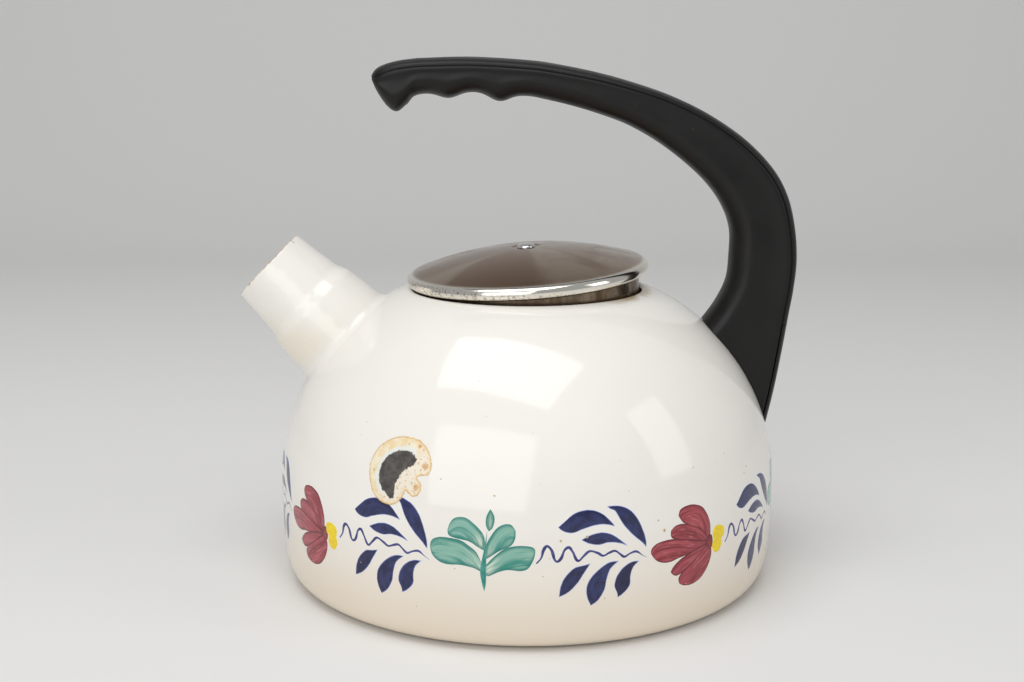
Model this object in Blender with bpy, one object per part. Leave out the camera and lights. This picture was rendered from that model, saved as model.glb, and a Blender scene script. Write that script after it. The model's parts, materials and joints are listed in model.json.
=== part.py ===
"""Enamel kettle with an open stepped spout, a free-ended black handle and a loose steel lid.

Metres, +Z up. The origin is the middle of the flat base. The spout points to -X, the handle
stands on the +X side, and both lie in the plane y = 0.
"""

import math

import bmesh
import bpy
from mathutils import Matrix, Vector

# Clearance between touching pieces, overrun of cutters and facets round a circle
GAP = 0.0003
OVERRUN = 0.010
BODY_SIDES = 52
SPOUT_SIDES = 32
SMALL_SIDES = 20
SHARP_ANGLE = math.radians(32)

# Body: an enamelled steel shell with a turned-in neck, closed below by a base pan
BODY_RADIUS = 0.110
NECK_HEIGHT = 0.1271
BELLY_HEIGHT = 0.0434
BASE_CORNER = 0.018
WALL = 0.0012
NECK_BORE = 0.0506
LIP_INSIDE_RADIUS = 0.0003
SHOULDER_SLOPE = math.radians(15)
COLLAR_DEPTH = 0.008
BASE_FLANGE = 0.006
PAN_OVERLAP = 0.0045
CORNER_SHARE = 0.90
BELLY_SHARE = 0.538
SHOULDER_SHARE = 0.417

# Spout: a tapering tube with one soft step, a flared root and a slit in its rim
SPOUT_SLOPE = math.radians(44.2)
SPOUT_DROP = 0.0201
SPOUT_LENGTH = 0.0431
SPOUT_TIP_RADIUS = 0.0181
SPOUT_TAPER = 0.105
SPOUT_STEP = 0.0017
SPOUT_STEP_PLACE = 0.0188
SPOUT_STEP_LENGTH = 0.0065
SPOUT_FLARE = 0.0010
SPOUT_FLARE_LENGTH = 0.0032
SPOUT_ROOT_DEPTH = 0.014
SLIT_WIDTH = 0.0012
SLIT_DEPTH = 0.0024
SLIT_TURN = math.radians(23)

# Handle: one thick moulding that rises from its foot and reaches back over the lid
NOSE_OVERHANG = 0.0140
BACK_OVERHANG = 0.0088
FOOT_PLACE_SHARE = 0.3274
HANDLE_CLEARANCE = 0.1003
HANDLE_HALF_WIDTH = 0.0115
HANDLE_CROWN = 0.0034
HANDLE_ROUND = 0.0080
SEAM_WIDTH = 0.0007
SEAM_DEPTH = 0.0005
RIDGE_WIDTH = 0.0060
RIDGE_HEIGHT = 0.0034
RING_STEP = 0.0065
GRIP_RING_STEP = 0.0031

# Each row is one station from nose to foot, as shares of the handle's length and rise:
# outer edge x and z, inner edge x and z, half width
handle_station_shares = (
    (0.002, 0.952, 0.004, 0.930, 0.45),
    (0.011, 0.967, 0.015, 0.902, 0.74),
    (0.030, 0.979, 0.036, 0.866, 0.88),
    (0.061, 0.989, 0.058, 0.851, 0.93),
    (0.091, 0.994, 0.082, 0.871, 0.94),
    (0.123, 0.997, 0.113, 0.898, 0.94),
    (0.235, 1.000, 0.232, 0.905, 0.95),
    (0.362, 0.991, 0.355, 0.894, 0.95),
    (0.427, 0.981, 0.400, 0.885, 0.95),
    (0.523, 0.958, 0.471, 0.865, 0.95),
    (0.604, 0.932, 0.532, 0.843, 0.96),
    (0.695, 0.895, 0.597, 0.814, 0.96),
    (0.786, 0.843, 0.666, 0.768, 0.97),
    (0.872, 0.774, 0.735, 0.707, 0.98),
    (0.937, 0.696, 0.788, 0.646, 0.99),
    (0.974, 0.619, 0.823, 0.585, 1.00),
    (0.993, 0.532, 0.841, 0.523, 1.01),
    (1.000, 0.442, 0.842, 0.455, 1.02),
    (0.995, 0.359, 0.837, 0.386, 1.03),
    (0.986, 0.289, 0.818, 0.331, 1.04),
    (0.972, 0.178, 0.787, 0.275, 1.05),
    (0.954, 0.055, 0.738, 0.205, 1.05),
    (0.930, -0.075, 0.690, 0.130, 1.05),
)
# Finger ridges under the grip: place along the handle and share of the full ridge height
ridge_shares = ((0.179, 0.78), (0.297, 1.00))
# Half of one cross-section, outer edge to side: share of the crown's depth and of the half width
crown_shares = ((0.00, 0.00), (0.10, 0.42), (0.38, 0.76), (0.74, 0.94), (1.00, 1.00))
# The rounded inner edge: share of its own depth and of the half width
inner_round_shares = ((1.00, 0.93), (0.56, 0.80), (0.20, 0.53), (0.00, 0.00))
SIDE_HOLLOW_SHARE = 0.955
CROWN_LIMIT_SHARE = 0.34
ROUND_LIMIT_SHARE = 0.45

# Handle fixing: a folded steel bracket on the body, two screws and a cover over their heads
BRACKET_STAND = 0.0030
BRACKET_PLACE_SHARE = 0.5329
BRACKET_HEIGHT = 0.020
BRACKET_HALF_WIDTH = 0.006
BRACKET_SHEET = 0.002
SCREW_RADIUS = 0.0020
SCREW_HEAD_RADIUS = 0.0035
SCREW_HEAD_DEPTH = 0.0024
SCREW_TIP = 0.0015
SCREW_EDGE_SHARE = 0.25
SCREW_SINK = 0.0010
SLOT_WIDTH = 0.0010
SLOT_DEPTH = 0.0010
COVER_LAP = 0.0030

# Lid: polished dome with a curled rim, a plug skirt, and a spring strip on a rivet
LID_OVERHANG = 0.0028
LID_RISE = 0.0112
LID_SHEET = 0.0008
LID_TILT = math.radians(4.4)
LEAN_TURN = math.radians(28)
BEAD_RADIUS = 0.0028
SKIRT_PLAY = 0.0011
SLID_SHARE = 0.7
SKIRT_DEPTH = 0.0150
SKIRT_HEM = 0.0020
SEAT_RADIUS = 0.0052
SEAT_SINK = 0.0005
SEAT_BLEND = 0.0020
SPRING_WIDTH = 0.010
SPRING_SHEET = 0.0006
SPRING_LEG = 0.0060
SPRING_BEND = 0.0030
RIVET_RADIUS = 0.0016
RIVET_HEAD_RADIUS = 0.0040
RIVET_HEAD_HEIGHT = 0.0017
RIVET_TAIL_RADIUS = 0.0028
RIVET_TAIL_HEIGHT = 0.0011
WASHER_RADIUS = 0.0040
WASHER_SHEET = 0.0008

ENAMEL = ((0.86, 0.82, 0.74), 0.12, 0.0)
BARE_STEEL = ((0.55, 0.54, 0.52), 0.38, 1.0)
POLISHED_STEEL = ((0.72, 0.71, 0.69), 0.12, 1.0)
BLACK_PLASTIC = ((0.012, 0.012, 0.013), 0.38, 0.0)


# Curves in the half plane (radius, height)


def bezier(start, start_handle, end_handle, end, count):
    """Points of a cubic curve, both ends included."""
    points = []
    for i in range(count + 1):
        t = i / count
        s = 1 - t
        point = start * s**3 + start_handle * 3 * s * s * t
        points.append(point + end_handle * 3 * s * t * t + end * t**3)
    return points


def arc(centre, radius, first, last, count):
    """Points of an arc from one angle to another, both ends included."""
    angles = [first + (last - first) * i / count for i in range(count + 1)]
    return [centre + Vector((math.cos(a), math.sin(a))) * radius for a in angles]


def offset(points, distance):
    """The same path moved to its left by a distance."""
    moved = []
    for i, point in enumerate(points):
        before = points[max(i - 1, 0)]
        after = points[min(i + 1, len(points) - 1)]
        along = (after - before).normalized()
        moved.append(point + Vector((-along.y, along.x)) * distance)
    return moved


def smooth(share):
    """Soft step from 0 to 1."""
    share = min(max(share, 0), 1)
    return share * share * (3 - 2 * share)


def base_radius():
    return BODY_RADIUS - BASE_CORNER


def lip_radius():
    """Outer radius of the fold at the neck."""
    return LIP_INSIDE_RADIUS + WALL


def lip_centre():
    drop = lip_radius() * math.cos(SHOULDER_SLOPE)
    return Vector((NECK_BORE + lip_radius(), NECK_HEIGHT - drop))


def body_curve(corner_count, shoulder_count, lip_count):
    """The body's outer side from the flat base to the inside of the neck."""
    base = Vector((base_radius(), 0))
    corner = Vector((BODY_RADIUS, 0))
    belly = Vector((BODY_RADIUS, BELLY_HEIGHT))
    lip_start = math.pi / 2 - SHOULDER_SLOPE
    lip = arc(lip_centre(), lip_radius(), lip_start, math.pi, lip_count)
    neck = lip[0]
    belly_handle = Vector((BODY_RADIUS, BELLY_HEIGHT + BELLY_SHARE * (neck.y - BELLY_HEIGHT)))
    reach = SHOULDER_SHARE * (BODY_RADIUS - neck.x)
    slope = Vector((math.cos(SHOULDER_SLOPE), -math.sin(SHOULDER_SLOPE)))
    lower = bezier(base, base.lerp(corner, CORNER_SHARE), corner, belly, corner_count)
    upper = bezier(belly, belly_handle, neck + slope * reach, neck, shoulder_count)
    return lower[:-1] + upper[:-1] + lip


def body_radius_at(height):
    """Radius of the body's outer side above its belly."""
    curve = body_curve(16, 60, 4)
    above = [p for p in curve if p.y >= BELLY_HEIGHT and p.x >= lip_centre().x]
    for low, high in zip(above, above[1:]):
        if low.y <= height <= high.y:
            return low.x + (high.x - low.x) * (height - low.y) / (high.y - low.y)
    return BODY_RADIUS


def shoulder_height(share):
    """Height at a share of the way from the belly up to the neck."""
    return BELLY_HEIGHT + share * (NECK_HEIGHT - BELLY_HEIGHT)


# Scene and mesh helpers


def clear_scene():
    for obj in list(bpy.data.objects):
        bpy.data.objects.remove(obj, do_unlink=True)


def material(name, look):
    colour, roughness, metallic = look
    made = bpy.data.materials.new(name)
    made.use_nodes = True
    shader = made.node_tree.nodes["Principled BSDF"]
    shader.inputs["Base Color"].default_value = (*colour, 1)
    shader.inputs["Roughness"].default_value = roughness
    shader.inputs["Metallic"].default_value = metallic
    return made


def place(name, mesh, look=None):
    obj = bpy.data.objects.new(name, mesh)
    bpy.context.scene.collection.objects.link(obj)
    if look:
        mesh.materials.append(material(name, look))
    return obj


def mesh_from(bm, name):
    bmesh.ops.recalc_face_normals(bm, faces=bm.faces)
    mesh = bpy.data.meshes.new(name)
    bm.to_mesh(mesh)
    bm.free()
    mesh.shade_smooth()
    mesh.set_sharp_from_angle(angle=SHARP_ANGLE)
    return mesh


def turned(name, profile, sides, look=None):
    """Spin a closed profile of (radius, height) points once round the Z axis."""
    bm = bmesh.new()
    ring = [bm.verts.new((p[0], 0, p[1])) for p in profile]
    edges = []
    for first, second in zip(ring, ring[1:] + ring[:1]):
        if first.co.x > 0 or second.co.x > 0:
            edges.append(bm.edges.new((first, second)))
    bmesh.ops.spin(
        bm,
        geom=ring + edges,
        cent=(0, 0, 0),
        axis=(0, 0, 1),
        angle=math.tau,
        steps=sides,
        use_merge=True,
    )
    bmesh.ops.remove_doubles(bm, verts=bm.verts, dist=GAP / 100)
    return place(name, mesh_from(bm, name), look)


def prism(name, outline, half_width, look=None):
    """Extrude an outline of (x, z) points along Y, the same way to both sides."""
    bm = bmesh.new()
    ring = [bm.verts.new((p[0], -half_width, p[1])) for p in outline]
    face = bm.faces.new(ring)
    grown = bmesh.ops.extrude_face_region(bm, geom=[face])["geom"]
    verts = [v for v in grown if isinstance(v, bmesh.types.BMVert)]
    bmesh.ops.translate(bm, verts=verts, vec=(0, 2 * half_width, 0))
    return place(name, mesh_from(bm, name), look)


def box(name, low, high, look=None):
    outline = [(low[0], low[2]), (high[0], low[2]), (high[0], high[2]), (low[0], high[2])]
    return prism(name, outline, high[1], look)


def lay_across(obj, height):
    """Turn an object's own Z axis to +X and lift it to a height."""
    obj.location = (0, 0, height)
    obj.rotation_euler = (0, math.pi / 2, 0)
    return obj


def boolean(obj, tool, operation="DIFFERENCE"):
    change = obj.modifiers.new(tool.name, "BOOLEAN")
    change.operation = operation
    change.solver = "EXACT"
    change.object = tool
    tool.hide_render = True
    tool.display_type = "WIRE"
    return change


# Body


def make_envelope():
    """The body as a solid, one clearance larger, that trims what is fixed to the body."""
    side = offset(body_curve(7, 13, 3), -GAP)
    profile = [(0, -GAP)] + side + [(0, side[-1].y)]
    return turned("body_envelope", profile, BODY_SIDES)


def make_shell():
    collar_end = lip_centre() + Vector((-lip_radius(), -COLLAR_DEPTH))
    flange_start = Vector((base_radius() - BASE_FLANGE, 0))
    outer = [flange_start] + body_curve(7, 13, 3) + [collar_end]
    inner_path = [flange_start] + body_curve(5, 10, 2) + [collar_end]
    inner = offset(inner_path, WALL)
    return turned("body_shell", outer + inner[::-1], BODY_SIDES, ENAMEL)


def make_base_pan():
    """A flat disc whose stepped rim lies on the shell's turned-in flange."""
    disc = base_radius() - BASE_FLANGE - 2 * GAP
    rim = disc + PAN_OVERLAP
    under = WALL + GAP
    profile = [
        (0, 0),
        (disc, 0),
        (disc, under),
        (rim, under),
        (rim, under + WALL),
        (disc - WALL, under + WALL),
        (disc - WALL, WALL),
        (0, WALL),
    ]
    return turned("base_pan", profile, BODY_SIDES, ENAMEL)


# Spout, turned along its own Z axis from the place where that axis leaves the body


def spout_radius(along):
    taper = SPOUT_TIP_RADIUS + SPOUT_TAPER * (SPOUT_LENGTH - along)
    step = SPOUT_STEP * smooth((SPOUT_STEP_PLACE - along) / SPOUT_STEP_LENGTH + 1 / 2)
    return taper + step


def spout_flare(along):
    share = (SPOUT_FLARE_LENGTH - along) / (2 * SPOUT_FLARE_LENGTH)
    share = min(max(share, 0), 1)
    return SPOUT_FLARE * share * share


def spout_places():
    """Stations along the spout, from root to mouth, close together at the step and the flare."""
    step_start = SPOUT_STEP_PLACE - SPOUT_STEP_LENGTH / 2
    places = [-SPOUT_ROOT_DEPTH]
    places += [SPOUT_FLARE_LENGTH * share for share in (-1, -1 / 2, 0, 1 / 2, 1)]
    places += [step_start + SPOUT_STEP_LENGTH * i / 6 for i in range(7)]
    return places + [SPOUT_LENGTH]


def lay_along_spout(obj):
    height = NECK_HEIGHT - SPOUT_DROP
    obj.location = (-body_radius_at(height), 0, height)
    obj.rotation_euler = (0, SPOUT_SLOPE - math.pi / 2, 0)


def make_spout(envelope):
    places = spout_places()
    outer = [(spout_radius(s) + spout_flare(s), s) for s in reversed(places)]
    inner = [(spout_radius(s) - WALL, s) for s in places if s > 0]
    root = spout_radius(0) - WALL
    inner = [(root, -SPOUT_ROOT_DEPTH), (root, 0)] + inner
    spout = turned("spout", outer + inner, SPOUT_SIDES, ENAMEL)
    lay_along_spout(spout)
    boolean(spout, envelope)
    boolean(spout, make_slit())
    return spout


def make_slit():
    """The short slit in the upper side of the spout's rim."""
    low = SPOUT_TIP_RADIUS - 2 * WALL
    slit = box(
        "slit_cutter",
        (low, 0, SPOUT_LENGTH - SLIT_DEPTH),
        (SPOUT_TIP_RADIUS + 2 * WALL, SLIT_WIDTH / 2, SPOUT_LENGTH + WALL),
    )
    slit.data.transform(Matrix.Rotation(-SLIT_TURN, 4, "Z"))
    lay_along_spout(slit)
    return slit


def cut_spout_hole(shell):
    length = 2 * SPOUT_ROOT_DEPTH + OVERRUN
    radius = spout_radius(0) - WALL
    profile = [(0, -length / 2), (radius, -length / 2), (radius, length / 2), (0, length / 2)]
    hole = turned("spout_hole_cutter", profile, SPOUT_SIDES)
    lay_along_spout(hole)
    boolean(shell, hole)


# Handle


def spline(rows, i, share):
    """One row between row i and row i + 1 of a smooth curve through all rows."""
    a = rows[max(i - 1, 0)]
    b = rows[i]
    c = rows[i + 1]
    d = rows[min(i + 2, len(rows) - 1)]
    t = share
    value = []
    for p, q, r, s in zip(a, b, c, d):
        bend = (2 * p - 5 * q + 4 * r - s) * t * t + (3 * q - p - 3 * r + s) * t**3
        value.append(q + ((r - p) * t + bend) / 2)
    return value


def handle_nose():
    return -lid_radius() - NOSE_OVERHANG


def handle_length():
    return BODY_RADIUS + BACK_OVERHANG - handle_nose()


def handle_foot():
    return shoulder_height(FOOT_PLACE_SHARE)


def handle_stations():
    """Outer point, inner point and half width at each ring of the handle."""
    nose = handle_nose()
    length = handle_length()
    foot = handle_foot()
    rise = NECK_HEIGHT + HANDLE_CLEARANCE - foot
    rows = []
    for ox, oz, ix, iz, width in handle_station_shares:
        outer = (nose + ox * length, foot + oz * rise)
        inner = (nose + ix * length, foot + iz * rise)
        rows.append((*outer, *inner, width * HANDLE_HALF_WIDTH))
    ridges = [(nose + place * length, height) for place, height in ridge_shares]
    last_ridge = ridges[-1][0] + 2 * RIDGE_WIDTH
    stations = []
    for i in range(len(rows) - 1):
        span = (Vector(rows[i + 1][:2]) - Vector(rows[i][:2])).length
        step = GRIP_RING_STEP if rows[i + 1][0] < last_ridge else RING_STEP
        count = max(1, round(span / step))
        for k in range(count):
            stations.append(spline(rows, i, k / count))
    stations.append(list(rows[-1]))
    for station in stations:
        for place, height in ridges:
            distance = (station[2] - place) / RIDGE_WIDTH
            station[3] -= RIDGE_HEIGHT * height * math.exp(-distance * distance)
    return stations


def handle_section(station):
    """One ring of points: crowned outer edge, seam line, slightly hollow side, round inner edge."""
    ox, oz, ix, iz, width = station
    outer = Vector((ox, 0, oz))
    inner = Vector((ix, 0, iz))
    height = (outer - inner).length
    up = (outer - inner) / height
    crown = min(HANDLE_CROWN, CROWN_LIMIT_SHARE * height)
    rounding = min(HANDLE_ROUND, ROUND_LIMIT_SHARE * height)
    seam = SEAM_WIDTH * crown / HANDLE_CROWN
    half = [(height - crown * depth, width * share) for depth, share in crown_shares]
    half.append((height - crown - seam / 2, width - SEAM_DEPTH))
    half.append((height - crown - seam, width))
    half.append(((height - crown + rounding) / 2, width * SIDE_HOLLOW_SHARE))
    half += [(rounding * depth, width * share) for depth, share in inner_round_shares]
    other = [(level, -side) for level, side in half[-2:0:-1]]
    return [inner + up * level + Vector((0, side, 0)) for level, side in half + other]


def loft(name, rings, look=None):
    bm = bmesh.new()
    loops = [[bm.verts.new(point) for point in ring] for ring in rings]
    bm.faces.new(loops[0])
    bm.faces.new(loops[-1])
    for first, second in zip(loops, loops[1:]):
        for i in range(len(first)):
            j = (i + 1) % len(first)
            bm.faces.new((first[i], first[j], second[j], second[i]))
    return place(name, mesh_from(bm, name), look)


def back_edge_below(top):
    """The handle's outer edge from a height down to its foot."""
    edge = [Vector(station[:2]) for station in handle_stations()]
    back = [p for p in edge if p.x > BODY_RADIUS / 2 and p.y < top]
    last_above = [p for p in edge if p.x > BODY_RADIUS / 2 and p.y >= top][-1]
    share = (last_above.y - top) / (last_above.y - back[0].y)
    return [last_above.lerp(back[0], share)] + back


def back_band(name, depth, top):
    """Everything within a depth of the handle's back edge, below a height."""
    back = back_edge_below(top)
    outside = offset(back, OVERRUN)
    inside = offset(back, -depth)
    outside[0].y = top
    inside[0].y = top
    return prism(name, outside + inside[::-1], 2 * HANDLE_HALF_WIDTH)


def bracket_bottom():
    return shoulder_height(BRACKET_PLACE_SHARE)


def bracket_top():
    return bracket_bottom() + BRACKET_HEIGHT


def bracket_reach():
    """The outer face of the bracket's back plate, out from the body's axis."""
    return body_radius_at(bracket_bottom()) + BRACKET_STAND


def bracket_pocket():
    low = (0, 0, bracket_bottom() - GAP)
    high = (bracket_reach() + GAP, BRACKET_HALF_WIDTH + GAP, bracket_top() + GAP)
    return box("pocket_cutter", low, high)


def screw_heights():
    edge = SCREW_EDGE_SHARE * BRACKET_HEIGHT
    return {
        "lower": bracket_bottom() + edge,
        "upper": bracket_top() - edge,
    }


def cover_top():
    return bracket_top() + COVER_LAP


def head_seat():
    """The counterbores' floor, out from the body's axis: the lower head just clears the cover."""
    lowest = screw_heights()["lower"] - SCREW_HEAD_RADIUS
    cover = back_edge_below(lowest)[0].x - HANDLE_CROWN - GAP
    return cover - SCREW_SINK - SCREW_HEAD_DEPTH - GAP


def screw_bore(name, height):
    """A stepped hole along +X: shank clearance, then room for the head out to the back."""
    start = bracket_reach() - BRACKET_SHEET
    end = head_seat() + 2 * OVERRUN
    shank = SCREW_RADIUS + GAP
    head = SCREW_HEAD_RADIUS + GAP
    seat = head_seat()
    profile = [(0, start), (shank, start), (shank, seat), (head, seat), (head, end), (0, end)]
    return lay_across(turned(name, profile, SMALL_SIDES), height)


def make_handle(envelope):
    rings = [handle_section(station) for station in handle_stations()]
    handle = loft("handle", rings, BLACK_PLASTIC)
    boolean(handle, envelope)
    boolean(handle, bracket_pocket())
    boolean(handle, back_band("cover_recess_cutter", HANDLE_CROWN + GAP, cover_top() + GAP))
    for place_name, height in screw_heights().items():
        boolean(handle, screw_bore(place_name + "_bore_cutter", height))
    return handle


def make_cover(envelope):
    rings = [handle_section(station) for station in handle_stations()]
    cover = loft("handle_cover", rings, BLACK_PLASTIC)
    boolean(cover, back_band("cover_band", HANDLE_CROWN, cover_top()), "INTERSECT")
    boolean(cover, envelope)
    return cover


def make_bracket(envelope):
    """Sheet folded to a U: a back plate for the screws and two cheeks shaped to the body."""
    reach = bracket_reach()
    low = (reach / 2, 0, bracket_bottom())
    high = (reach, BRACKET_HALF_WIDTH, bracket_top())
    bracket = box("handle_bracket", low, high, BARE_STEEL)
    inside = box(
        "bracket_inside_cutter",
        (0, 0, bracket_bottom() - OVERRUN),
        (reach - BRACKET_SHEET, BRACKET_HALF_WIDTH - BRACKET_SHEET, bracket_top() + OVERRUN),
    )
    boolean(bracket, inside)
    boolean(bracket, envelope)
    for place_name, height in screw_heights().items():
        radius = SCREW_RADIUS + GAP
        start = reach - OVERRUN
        end = reach + OVERRUN
        profile = [(0, start), (radius, start), (radius, end), (0, end)]
        hole = turned(place_name + "_thread_cutter", profile, SMALL_SIDES)
        boolean(bracket, lay_across(hole, height))
    return bracket


def make_screw(place_name, height):
    """A slotted screw whose head points to +X."""
    tip = bracket_reach() - BRACKET_SHEET - SCREW_TIP
    seat = head_seat() + GAP
    profile = [
        (0, seat + SCREW_HEAD_DEPTH),
        (SCREW_HEAD_RADIUS, seat + SCREW_HEAD_DEPTH),
        (SCREW_HEAD_RADIUS, seat),
        (SCREW_RADIUS, seat),
        (SCREW_RADIUS, tip),
        (0, tip),
    ]
    screw = turned("handle_screw_" + place_name, profile, SMALL_SIDES, BARE_STEEL)
    slot = box(
        place_name + "_slot_cutter",
        (-SCREW_HEAD_RADIUS - GAP, 0, seat + SCREW_HEAD_DEPTH - SLOT_DEPTH),
        (SCREW_HEAD_RADIUS + GAP, SLOT_WIDTH / 2, seat + SCREW_HEAD_DEPTH + GAP),
    )
    boolean(lay_across(screw, height), lay_across(slot, height))
    return screw


# Lid, in a frame whose origin is the middle of the rim and whose Z axis leans with the lid


def lid_radius():
    return NECK_BORE + LID_OVERHANG


def lean_run():
    """How far the skirt's foot moves sideways because the lid leans."""
    return SKIRT_DEPTH * math.sin(LID_TILT)


def skirt_radius():
    """Largest plug that slides through the neck while it leans."""
    return NECK_BORE - SKIRT_PLAY - lean_run() / 2


def dome_sphere():
    """Height of the dome's centre below the rim, and its radius."""
    edge = lid_radius() - BEAD_RADIUS
    rise = LID_RISE - BEAD_RADIUS
    radius = (edge * edge + rise * rise) / (2 * rise)
    return LID_RISE - radius, radius


def dome_height(across, inset):
    centre, radius = dome_sphere()
    return centre + math.sqrt((radius - inset) ** 2 - across * across)


def make_lid_dome():
    centre, radius = dome_sphere()
    bead_centre = Vector((lid_radius() - BEAD_RADIUS, 0))
    inner_edge = skirt_radius() + GAP
    hole = RIVET_RADIUS + GAP
    seat = LID_RISE - SEAT_SINK
    blend = SEAT_RADIUS + SEAT_BLEND
    count = 7
    places = [blend + (bead_centre.x - blend) * i / count for i in range(count)]
    outer = [Vector((hole, seat)), Vector((SEAT_RADIUS, seat))]
    outer += [Vector((r, dome_height(r, 0))) for r in places]
    slope = math.asin(bead_centre.x / radius)
    bead = arc(bead_centre, BEAD_RADIUS, math.pi / 2 - slope, -math.pi / 2, 5)
    curl = [
        Vector(((bead_centre.x + inner_edge) / 2, -BEAD_RADIUS)),
        Vector((inner_edge, -BEAD_RADIUS / 2)),
        Vector((inner_edge, dome_height(inner_edge, LID_SHEET))),
    ]
    inner = [Vector((r, dome_height(r, LID_SHEET))) for r in reversed(places) if r < inner_edge]
    inner += [Vector((SEAT_RADIUS, seat - LID_SHEET)), Vector((hole, seat - LID_SHEET))]
    return turned("lid_dome", outer + bead + curl + inner, BODY_SIDES, POLISHED_STEEL)


def make_lid_skirt():
    """The plug that stands in the neck, with a turned-in hem."""
    inside = skirt_radius() - LID_SHEET
    top = dome_height(skirt_radius(), LID_SHEET) - GAP
    hem = inside - SKIRT_HEM
    profile = [
        (skirt_radius(), top),
        (skirt_radius(), LID_SHEET - SKIRT_DEPTH),
        (inside, -SKIRT_DEPTH),
        (hem, -SKIRT_DEPTH),
        (hem, LID_SHEET - SKIRT_DEPTH),
        (inside, LID_SHEET - SKIRT_DEPTH),
        (inside, top),
    ]
    return turned("lid_skirt", profile, BODY_SIDES, POLISHED_STEEL)


def spring_top():
    return LID_RISE - SEAT_SINK - LID_SHEET - GAP


def make_lid_spring():
    """A bowed strip under the dome with a leg down the inside of the skirt at each end."""
    leg = skirt_radius() - LID_SHEET - GAP
    turn = leg - SPRING_BEND
    drop = SEAT_SINK + GAP
    bow = [turn * i / 4 for i in range(5)]
    top = [Vector((x, dome_height(x, LID_SHEET) - drop)) for x in bow]
    end = Vector((leg, top[-1].y - SPRING_BEND))
    half = top + [end.lerp(Vector((leg, top[-1].y)), 1 / 2) + Vector((-SPRING_BEND / 6, 0))]
    half += [end, Vector((leg, -SPRING_LEG))]
    under = offset(half, -SPRING_SHEET)
    mirror = [Vector((-p.x, p.y)) for p in half[:0:-1]]
    mirror_under = [Vector((-p.x, p.y)) for p in under[:0:-1]]
    outline = mirror + half + under[::-1] + mirror_under[::-1]
    spring = prism("lid_spring", outline, SPRING_WIDTH / 2, BARE_STEEL)
    radius = RIVET_RADIUS + GAP
    profile = [(0, 0), (radius, 0), (radius, LID_RISE), (0, LID_RISE)]
    boolean(spring, turned("spring_hole_cutter", profile, SMALL_SIDES))
    return spring


def washer_top():
    return spring_top() - SPRING_SHEET - GAP


def make_lid_washer():
    hole = RIVET_RADIUS + GAP
    top = washer_top()
    profile = [
        (hole, top),
        (WASHER_RADIUS, top),
        (WASHER_RADIUS, top - WASHER_SHEET),
        (hole, top - WASHER_SHEET),
    ]
    return turned("lid_washer", profile, SMALL_SIDES, BARE_STEEL)


def make_lid_rivet():
    seat = LID_RISE - SEAT_SINK + GAP
    tail = washer_top() - WASHER_SHEET - GAP
    head = []
    for i in range(6):
        angle = math.pi / 2 * i / 5
        across = RIVET_HEAD_RADIUS * math.sin(angle)
        head.append((across, seat + RIVET_HEAD_HEIGHT * math.cos(angle)))
    shank = [(RIVET_RADIUS, seat), (RIVET_RADIUS, tail), (RIVET_TAIL_RADIUS, tail)]
    end = tail - RIVET_TAIL_HEIGHT
    close = [(RIVET_TAIL_RADIUS, end), (0, end)]
    return turned("lid_rivet", head + shank + close, SMALL_SIDES, POLISHED_STEEL)


def lid_height():
    """Middle of the rim: the low side of the leaning rim rests on the neck."""
    low_side = (lid_radius() - BEAD_RADIUS) * math.sin(LID_TILT) + BEAD_RADIUS
    return lip_centre().y + lip_radius() + GAP + low_side


def make_lid():
    """The loose lid leans to the spout and the front, and has slid in its play towards the handle."""
    frame = bpy.data.objects.new("lid_lift_frame", None)
    bpy.context.scene.collection.objects.link(frame)
    back = lean_run() / 2
    slid = SLID_SHARE * SKIRT_PLAY
    x = slid - back * math.cos(LEAN_TURN)
    y = -back * math.sin(LEAN_TURN)
    frame.location = (x, y, lid_height())
    frame.rotation_euler = (0, -LID_TILT, LEAN_TURN)
    spring = make_lid_spring()
    cutters = [change.object for change in spring.modifiers]
    pieces = [make_lid_dome(), make_lid_skirt(), spring, make_lid_washer(), make_lid_rivet()]
    for piece in pieces + cutters:
        piece.parent = frame


def main():
    clear_scene()
    envelope = make_envelope()
    shell = make_shell()
    cut_spout_hole(shell)
    make_base_pan()
    make_spout(envelope)
    make_handle(envelope)
    make_cover(envelope)
    make_bracket(envelope)
    for place_name, height in screw_heights().items():
        make_screw(place_name, height)
    make_lid()


main()
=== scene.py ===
"""Looks of an old enamel kettle: cream enamel with a painted flower band, steel lid, black handle.

Metres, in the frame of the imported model: origin in the middle of the base, +Z up, spout to -X.
"""

import functools
import json
import math
import random
from math import cos, hypot, pi, radians, sin, tau

import bmesh
import bpy
import numpy as np
from mathutils import Matrix, Vector, noise


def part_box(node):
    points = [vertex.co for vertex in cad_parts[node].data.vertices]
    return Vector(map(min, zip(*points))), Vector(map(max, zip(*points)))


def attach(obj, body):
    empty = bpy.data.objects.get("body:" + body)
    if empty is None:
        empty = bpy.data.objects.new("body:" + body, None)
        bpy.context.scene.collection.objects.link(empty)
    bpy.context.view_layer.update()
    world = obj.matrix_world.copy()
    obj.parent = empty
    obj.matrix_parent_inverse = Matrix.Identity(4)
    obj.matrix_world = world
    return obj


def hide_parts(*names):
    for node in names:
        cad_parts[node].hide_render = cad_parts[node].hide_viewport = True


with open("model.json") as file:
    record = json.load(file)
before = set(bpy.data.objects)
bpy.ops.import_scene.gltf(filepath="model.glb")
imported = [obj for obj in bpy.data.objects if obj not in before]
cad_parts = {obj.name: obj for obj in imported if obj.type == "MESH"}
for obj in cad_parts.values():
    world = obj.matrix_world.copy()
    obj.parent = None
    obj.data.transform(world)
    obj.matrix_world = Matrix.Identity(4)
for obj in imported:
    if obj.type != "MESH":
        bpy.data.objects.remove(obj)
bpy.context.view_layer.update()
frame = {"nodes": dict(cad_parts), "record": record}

MM = 0.001

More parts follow.
